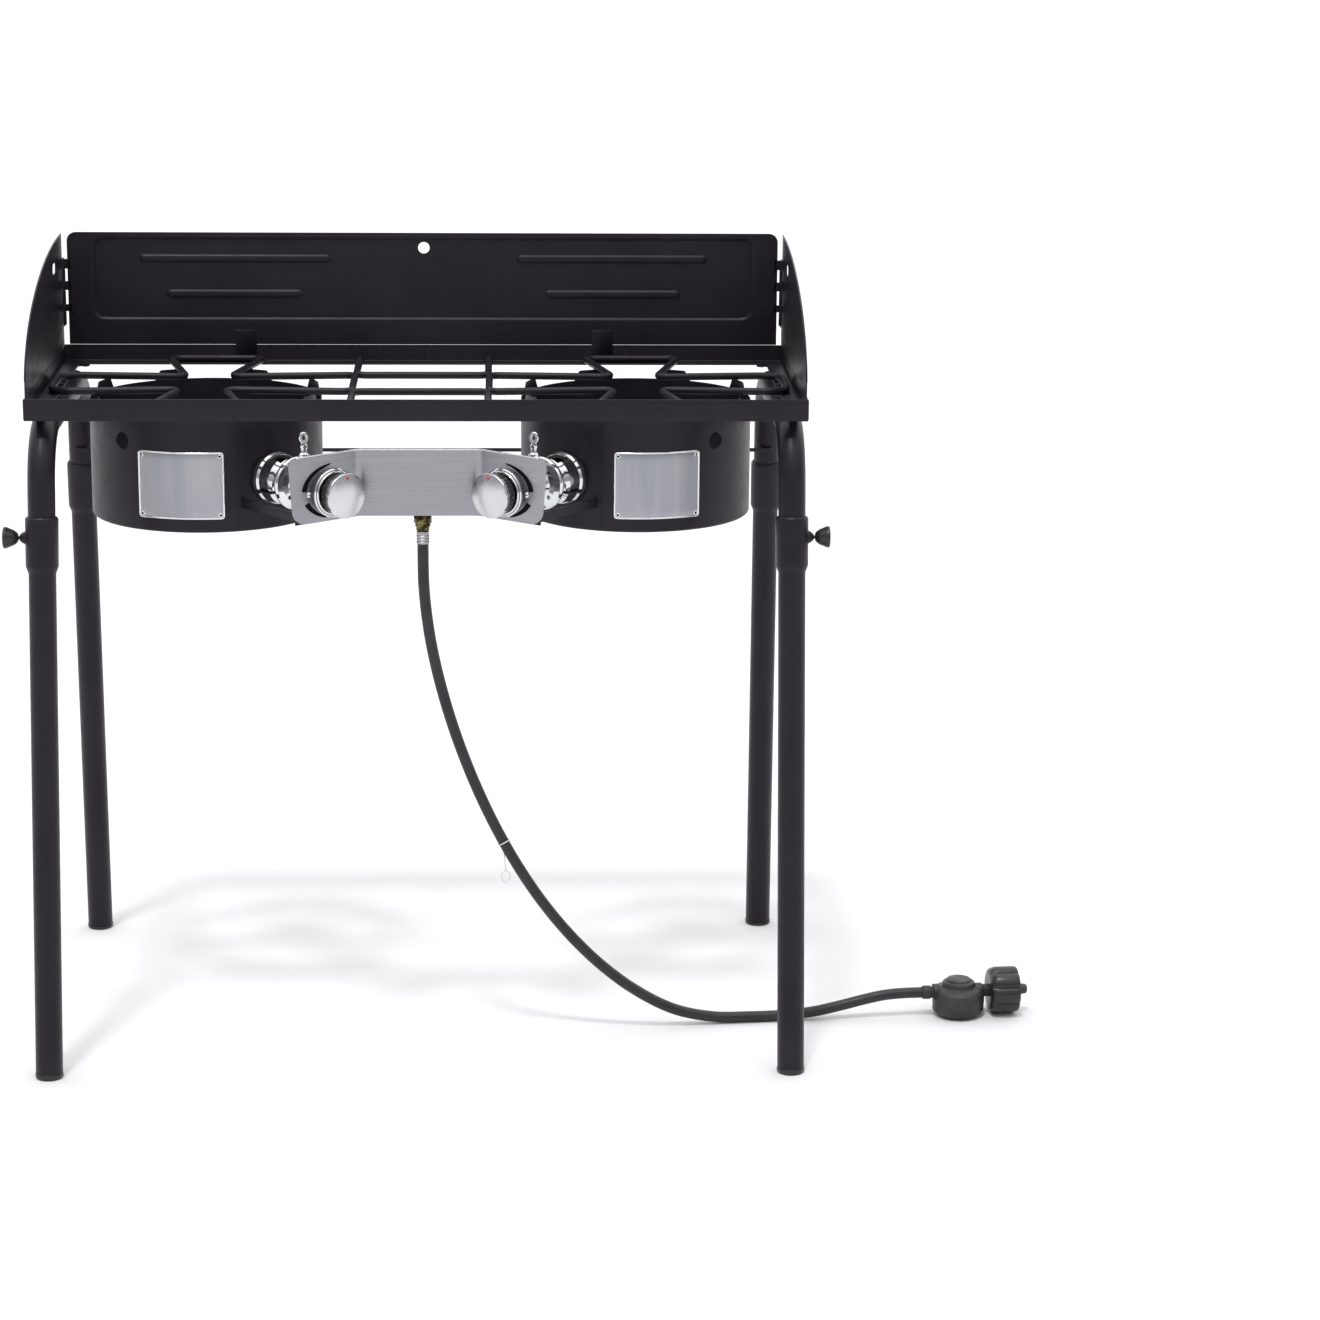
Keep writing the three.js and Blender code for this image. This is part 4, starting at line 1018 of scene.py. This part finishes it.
def build_panel():
    line = panel_line()
    lengths = [0]
    for a, b in zip(line, line[1:]):
        lengths.append(lengths[-1] + (b - a).length)
    total = lengths[-1]
    bottom, top, slant = PANEL["bottom"], PANEL["top"], 6
    rows = []
    for t in np.linspace(0, 1, 29):
        t = smooth_step(t) * 0.5 + t * 0.5
        z = bottom + (top - bottom) * t
        edge = slant * (1 - t)
        for end, corner in ((bottom, 15), (top, 8)):
            depth = corner - abs(z - end)
            if depth > 0:
                edge += corner - math.sqrt(corner**2 - depth**2)
        row = []
        for u in lengths:
            v = edge + (total - 2 * edge) * u / total
            row.append(point_along(line, lengths, v) + UP * z)
        rows.append([tuple(p) for p in row])
    panel = new_object("panel_sheet", grid(rows))
    thicken(panel, PANEL["sheet"])
    soften(panel, 0.3, 2, 60)
    finish_piece(panel, "brushed_steel", nodes=["control_panel"])
    inset = 10
    stops = np.linspace(inset, total - inset, 90)
    crest = [point_along(line, lengths, u) + Vector((0, PANEL["sheet"] / 2, top - 0.2)) for u in stops]
    # The rolled top edge gets a colour much brighter than the sheet: a painted highlight along the edge.
    marked(piece("panel_rolled_edge", tube(crest, 0.95, 14), "brushed_steel"), "highlight_painted_rim")


def point_along(line, lengths, distance):
    distance = min(max(distance, 0), lengths[-1])
    k = min(int(np.searchsorted(lengths, distance, side="right")) - 1, len(line) - 2)
    span = lengths[k + 1] - lengths[k]
    return line[k].lerp(line[k + 1], (distance - lengths[k]) / span)


def build_panel_marks():
    """Two plain tapered arcs at the outer side of each knob, and a small screw."""
    screw_x, screw_y = 32, 1.5
    for name, s in SIDES:
        arcs = Shape()
        across, upright, rise = 41, 29, 3
        along = np.linspace(0, 1, 25)
        for start, end, thin, thick in ((95, 175, 0.8, 6.4), (256, 204, 0.8, 6.2)):
            angles = np.radians(start + (end - start) * along)
            widths = thin + (thick - thin) * along ** 0.6
            outline = [(across * math.cos(a), rise + upright * math.sin(a)) for a in angles]
            for a, w in list(zip(angles, widths))[::-1]:
                outline.append(((across - w) * math.cos(a), rise + (upright - w) * math.sin(a)))
            if end < start:
                outline = outline[::-1]
            arcs = arcs + slab(outline, WING_T - 0.05, WING_T + 0.1)
        if s > 0:
            arcs = arcs.mirrored()
        marks = piece(f"panel_marks_{name}", on_feed(arcs, s), "black_plastic")
        marked(marks, "print_and_shade_black")
        head = turned([(0, -0.1), (3.1, -0.1), (3.1, 0.9), (2.2, 1.9), (0, 2.1)], 0.5, 28)
        slot_cut = block(-2.6, 2.6, -0.4, 0.4, 1.2, 3)
        screw = new_object(f"panel_screw_{name}", head)
        carve(screw, slot_cut, slot_cut.by(Matrix.Rotation(math.pi / 2, 4, "Z")))
        screw.data.transform(Matrix.Translation((s * screw_x * MM, screw_y * MM, WING_T * MM)))
        screw.data.transform(feed_matrix(s))
        finish_piece(screw, "chrome_trim")


# ---- Knobs ----
def build_knobs():
    collar = [
        (14, 0.3), (25.8, 0.3), (25.8, 1), (24.4, 2), (23.2, 1.7), (22.6, 2.2), (22, 3.1), (20.8, 2.4),
        (14, 2.4), (14, 0.3),
    ]
    grip = [(0.01, 3.6, 0), (17, 3.6, 0), (19.4, 3.8, 0.3), (20, 4.6, 0.8), (20.9, 15.4, 0.8)]
    grip += [(20.6, 16, 0.4), (0.01, 16, 0)]
    rim = [(0.01, 0, 0), (21, 0, 0), (22.8, 0.3, 0.8), (23.7, 1.6, 1.7), (23.9, 3.4, 1.4), (24, 4.8, 0.4)]
    rim += [(23.8, 6.1, 0), (23.2, 6.8, 0), (22.4, 7.0, 0)]
    crown, flutes, lobes = 100, 24, 12
    dish = [(r, 9.5 - (crown - math.sqrt(crown**2 - r * r)), 0) for r in (21, 17, 13.5, 10, 6.5, 3, 0.01)]
    face_z, mark_y = WING_T + 16.3, 18.6
    for name, s in SIDES:
        body = f"control_{name}"
        bezel = on_feed(turned(collar, 0.4, 96).moved(z=WING_T), s)
        piece(f"bezel_{name}", bezel, "chrome_trim", nodes=[f"knob_bezel_{name}"])
        knob = fluted(grip, 240, lambda a: (0.5 - 0.5 * math.cos(flutes * a)) ** 2)
        knob = (knob + rod(3.8, -15, 4, 24, 0.4)).moved(z=WING_T)
        piece(f"knob_body_{name}", on_feed(knob, s), "black_plastic", body, [f"knob_{name}"])
        cap = fluted(rim + dish, 288, lambda a: max(0.0, math.cos(lobes * a)) ** 3).moved(z=face_z)
        face = piece(f"knob_face_{name}", on_feed(cap, s), "chrome_trim", body, [f"knob_cap_{name}"])
        marked(face, "satin_face")
        dot = lathe([(1.6, 7.4), (1.6, 7.95), (1.3, 8.15), (0, 8.2)], 24).moved(0, mark_y, face_z)
        marked(piece(f"knob_mark_{name}", on_feed(dot, s), "black_plastic", body), "mark_red")


# ---- Valves, inlet and pipe ----
def hexagon(across, low, high):
    outline = [polar(across / math.sqrt(3), math.radians(60 * k)) for k in range(6)]
    return slab(outline, low, high)


def build_gas_train():
    pipe = level_bar(92, INLET[1], BURNER_Z, 7, 40, dome=0.1)
    drop = turned([(0, 590.4), (8.6, 590.4), (8.6, 606), (7.6, 612), (0, 616)], 0.6, 40).moved(*INLET)
    piece("gas_pipe", pipe + drop, nodes=["manifold_pipe"])
    back = WING_T - PANEL["sheet"]
    profile = [
        (0, 166), (2.2, 166), (3.4, 167.5), (3.4, 173), (7, 173.6), (7, 189), (10.4, 190.5),
        (10.4, back - 14), (8.4, back - 12.5), (8.4, back - 6), (9.6, back - 5), (9.6, back - 1),
        (0, back - 1),
    ]
    for name, s in SIDES:
        nut = new_object(f"valve_nut_{name}", on_feed(hexagon(19, 193, 202), s))
        soften(nut, 0.6, 2)
        finish_piece(nut, "gas_brass")
        port = on_axis(rod(8.4, 92.4, 104, 36, 0.5), (0, INLET[1], BURNER_Z), (s, 0, 0))
        shape = on_feed(turned(profile, 0.5, 48), s) + port
        piece(f"valve_body_{name}", shape, "gas_brass", nodes=[f"valve_{name}"])
    nut = new_object("inlet_hexagon", hexagon(16.6, 578, 588.5).moved(*INLET))
    soften(nut, 0.5, 2)
    finish_piece(nut, "gas_brass")
    profile = [(0, 570.4), (6.6, 570.4), (7, 571), (7, 574.4), (8.2, 575), (8.2, 577), (7.2, 577.6)]
    profile += [(7.2, 590), (0, 590)]
    piece("inlet_barrel", turned(profile, 0.35, 40).moved(*INLET), "gas_brass", nodes=["inlet_fitting"])


# ---- Windscreen ----
def spaced(low, high, coarse, centres, fine=0.6, reach=4):
    """Positions from low to high, close together round each centre."""
    found = set(np.round(np.arange(low, high + coarse / 2, coarse), 3)) | {low, high}
    for c in centres:
        found |= set(np.round(np.arange(c - reach, c + reach + fine / 2, fine), 3))
    kept = sorted(x for x in found if low <= x <= high)
    result = [kept[0]]
    for x in kept[1:]:
        if x - result[-1] > 0.35:
            result.append(x)
    result[-1] = high
    return result


def embossing(x, z):
    """How far the panel's face stands proud of the flat sheet at (x, z): a sunk field with raised ribs."""
    half, low, high, corner = 371, 743, 836.7, 12
    dx = abs(x) - (half - corner)
    dz = abs(z - (low + high) / 2) - ((high - low) / 2 - corner)
    outside = math.hypot(max(dx, 0), max(dz, 0)) + min(max(dx, dz), 0) - corner
    depth = -2.2 * (1 - smooth_step((outside + 2.8) / 2.8))
    for x0, x1, height in ((109, 314, 812.5), (141, 284, 772.7)):
        along = max(x0 - abs(x), 0, abs(x) - x1)
        near = math.hypot(along, z - height)
        depth += 2.2 * (1 - smooth_step((near - 1.8) / 2.8))
    return depth


def build_screen():
    half, foot, top = SCREEN["half"], SCREEN["foot"], SCREEN["top"]
    face = SCREEN["front"]
    ribs = [s * x for s in (-1, 1) for x in (109, 314, 141, 284, 369.5)]
    xs = spaced(-half, half, 4, ribs, 1.0, 5)
    zs = spaced(foot, top, 3, (744.5, 835, 812.5, 772.7), 0.6, 4.8)
    rows = []
    for z in zs:
        drop = 10 - (top - z)
        inset = 10 - math.sqrt(100 - drop * drop) if drop > 0 else 0
        scale = (half - inset) / half
        rows.append([(x * scale, face - embossing(x, z), z) for x in xs])
    screen = new_object("screen_panel", grid(rows), 60)
    thicken(screen, SCREEN["sheet"])
    carve(screen, on_axis(rod(6.5, -20, 20, 40), (0, face, 825), (0, -1, 0)))
    finish_piece(screen, body="windscreen", nodes=["windscreen_back"])

    back = face + SCREEN["sheet"]
    reach, hem_z = 387, top - 2.4
    hem = level_bar(reach, back + 0.4, hem_z, 1.9, 16)
    fold = block(-reach, reach, back - 0.1, back + 1.1, top - 9, hem_z)
    piece("screen_hem", hem + fold, body="windscreen")
    clip_x = 201
    for name, s in SIDES:
        x = s * clip_x
        front = [(174.3, 699.5), (175.5, 699.5), (175.5, 729), (176.4, 733), (175.4, 733.4), (174.3, 730)]
        rear = [(178.4, 699.5), (179.6, 699.5), (179.6, 717.6), (177, 717.6), (177, 716.4), (178.4, 716.4)]
        clip = merged(slab_across(outline, x - 12, x + 12) for outline in (front, rear))
        for dx, seed in ((-6, 21), (6, 22)):
            clip = clip + weld_blob(x + dx, 176.2, 725, 2.2, 1.1, 2.2, seed)
        piece(f"screen_clip_{name}", clip, body="windscreen", bevel=0.3)


STRAPS = ((753, 761), (777, 787), (801, 812))
KNUCKLES = ((738, 752.6), (761.4, 776.6), (787.4, 800.6))


def knuckle(z0, z1, s):
    profile = [(1.8, z0), (3.2, z0), (3.2, z1), (1.8, z1), (1.8, z0)]
    return turned(profile, [0, 0.3, 0.3, 0, 0], 28).moved(s * PIN["x"], PIN["y"])


def build_hinges():
    for name, s in SIDES:
        leaf = Shape()
        outline = fillet([(737, 384), (813, 384), (813, 397), (737, 397)], 2, 4, closed=True)
        flat = slab([(s * x, z) for z, x in outline][:: -s], 174.4, 175.8)
        leaf = leaf + Shape(flat.verts[:, [0, 2, 1]], flat.faces)
        for z0, z1 in STRAPS:
            leaf = leaf + knuckle(z0, z1, s)
            leaf = leaf + block(s * 396, s * (PIN["x"] - 0.8), PIN["y"] + 2, PIN["y"] + 3.2, z0, z1)
            leaf = leaf + block(s * 394, s * 397.5, PIN["y"] + 2, 175.2, z0, z1)
        for z in (747, 769, 794):
            leaf = leaf + weld_blob(s * 389.5, 174.3, z, 1.8, 0.5, 1.8, 31)
        piece(f"hinge_strip_{name}", leaf, body="windscreen", nodes=[f"hinge_leaf_{name}"])
        pin = [(0, 736), (1.5, 736), (1.5, 812.4), (2.6, 812.4), (2.4, 813.6), (1.4, 814), (0, 814)]
        pin = turned(pin, 0.3, 24).moved(s * PIN["x"], PIN["y"])
        piece(f"hinge_rod_{name}", pin, "bare_steel", "windscreen", [f"hinge_pin_{name}"])


def side_outline():
    """The side panel's (y, z) outline: a quarter of an ellipse from its front foot to its rear top."""
    front, rear, lift = -176, 166, 8
    base, top = TRAY["top"] + 1.4, SCREEN["top"] - 1
    spring = base + lift
    angles = np.linspace(0, math.pi / 2, 72)
    curve = [(rear - (rear - front) * math.sin(a), spring + (top - spring) * math.cos(a)) for a in angles]
    return fillet([(rear, base)] + curve + [(front, base)], [1.5] + [0] * 72 + [2], 4, closed=True)


def build_screen_sides():
    slot_y, slot_z, slot_half = 95, 812, 6
    stadium = []
    for side in (1, -1):
        for a in np.linspace(-side * math.pi / 2, -side * math.pi / 2 + math.pi, 14):
            y, z = polar(slot_half, a)
            stadium.append((slot_y + 8 * side + y, slot_z + z))
    for name, s in SIDES:
        x, body = s * PIN["x"], f"windscreen_wing_{name}"
        sheet = slab_across(side_outline()[::-1], -SCREEN["sheet"] / 2, SCREEN["sheet"] / 2)
        wing = new_object(f"screen_side_{name}", sheet.moved(x=x))
        slot = slab_across(stadium, -9, 9).moved(x=x)
        carve(wing, slot, on_axis(rod(3, -9, 9, 36), (x, -112, 727), (1, 0, 0)))
        soften(wing, 0.25, 2, 60, harden=False)
        for polygon in wing.data.polygons:
            polygon.use_smooth = abs(polygon.normal.x) < 0.99
        finish_piece(wing, body=body, nodes=[f"windscreen_side_{name}"])
        bead = tube([(x, y, z) for y, z in side_outline()[5:-8]], 0.95, 10)
        wraps = merged(
            knuckle(z0, z1, s) + block(x - 0.6, x + 0.6, 163, PIN["y"] - 1.9, z0, z1) for z0, z1 in KNUCKLES
        )
        piece(f"screen_side_hem_{name}", bead + wraps, body=body)


# ---- Studio ----
def build_studio():
    mesh = bpy.data.meshes.new("floor")
    mesh.from_pydata([(-60, -60, 0), (60, -60, 0), (60, 60, 0), (-60, 60, 0)], [], [(0, 1, 2, 3)])
    floor = link("floor", mesh)
    look = Look("floor_white", Roughness=0.9, Specular_IOR_Level=0.1)
    look.colours(look.noise(0.6, 2), (0.735, 0.735, 0.74), (0.75, 0.75, 0.755))
    mesh.materials.append(look.material)

    world = bpy.data.worlds.new("studio")
    bpy.context.scene.world = world
    world.use_nodes = True
    tree = world.node_tree

    def add(kind, **inputs):
        return set_inputs(tree, tree.nodes.new(f"ShaderNode{kind}"), **inputs)

    def mixed(factor, first, second):
        node = add("Mix")
        node.data_type = "RGBA"
        return set_inputs(tree, node, Factor=factor, A=first, B=second).outputs["Result"]

    parts = add("SeparateXYZ", Vector=add("TexCoord").outputs["Generated"])

    def sky(levels):
        """Brightness by height, from the horizon at 0 to overhead at 1."""
        shade = add("ValToRGB", Fac=parts.outputs["Z"])
        elements = shade.color_ramp.elements
        for _ in levels[2:]:
            elements.new(0.5)
        for element, (position, value) in zip(elements, levels):
            element.position = position
            element.color = (value, value, value * 1.02, 1)
        return shade.outputs["Color"]

    in_front = sky([(0.0, 0.40), (0.22, 0.36), (0.5, 0.8), (0.75, 1.4), (1.0, 1.6)])
    behind = sky([(0.0, 1.3), (0.5, 1.4), (1.0, 1.6)])
    rearward = add("MapRange", Value=parts.outputs["Y"], From_Min=0.05, From_Max=0.5)
    room = mixed(rearward.outputs["Result"], in_front, behind)
    seen = add("LightPath").outputs["Is Camera Ray"]
    set_inputs(tree, tree.nodes["Background"], Color=mixed(seen, room, (1, 1, 1, 1)), Strength=1.0)

    sun = bpy.data.lights.new("key", "SUN")
    sun.energy = 1.0
    sun.angle = math.radians(6)
    lamp = link("key", sun)
    lamp.rotation_mode = "QUATERNION"
    lamp.rotation_quaternion = Vector((0.12, 0.34, -1)).to_track_quat("-Z", "Y")
    bpy.context.scene.view_settings.view_transform = "Standard"


build_rails()
build_tray_welds()
build_supports()
build_legs()
build_grate()
build_drums()
build_badges()
build_burners()
build_shutters()
build_panel()
build_panel_marks()
build_knobs()
build_gas_train()
build_screen()
build_hinges()
build_screen_sides()
build_studio()
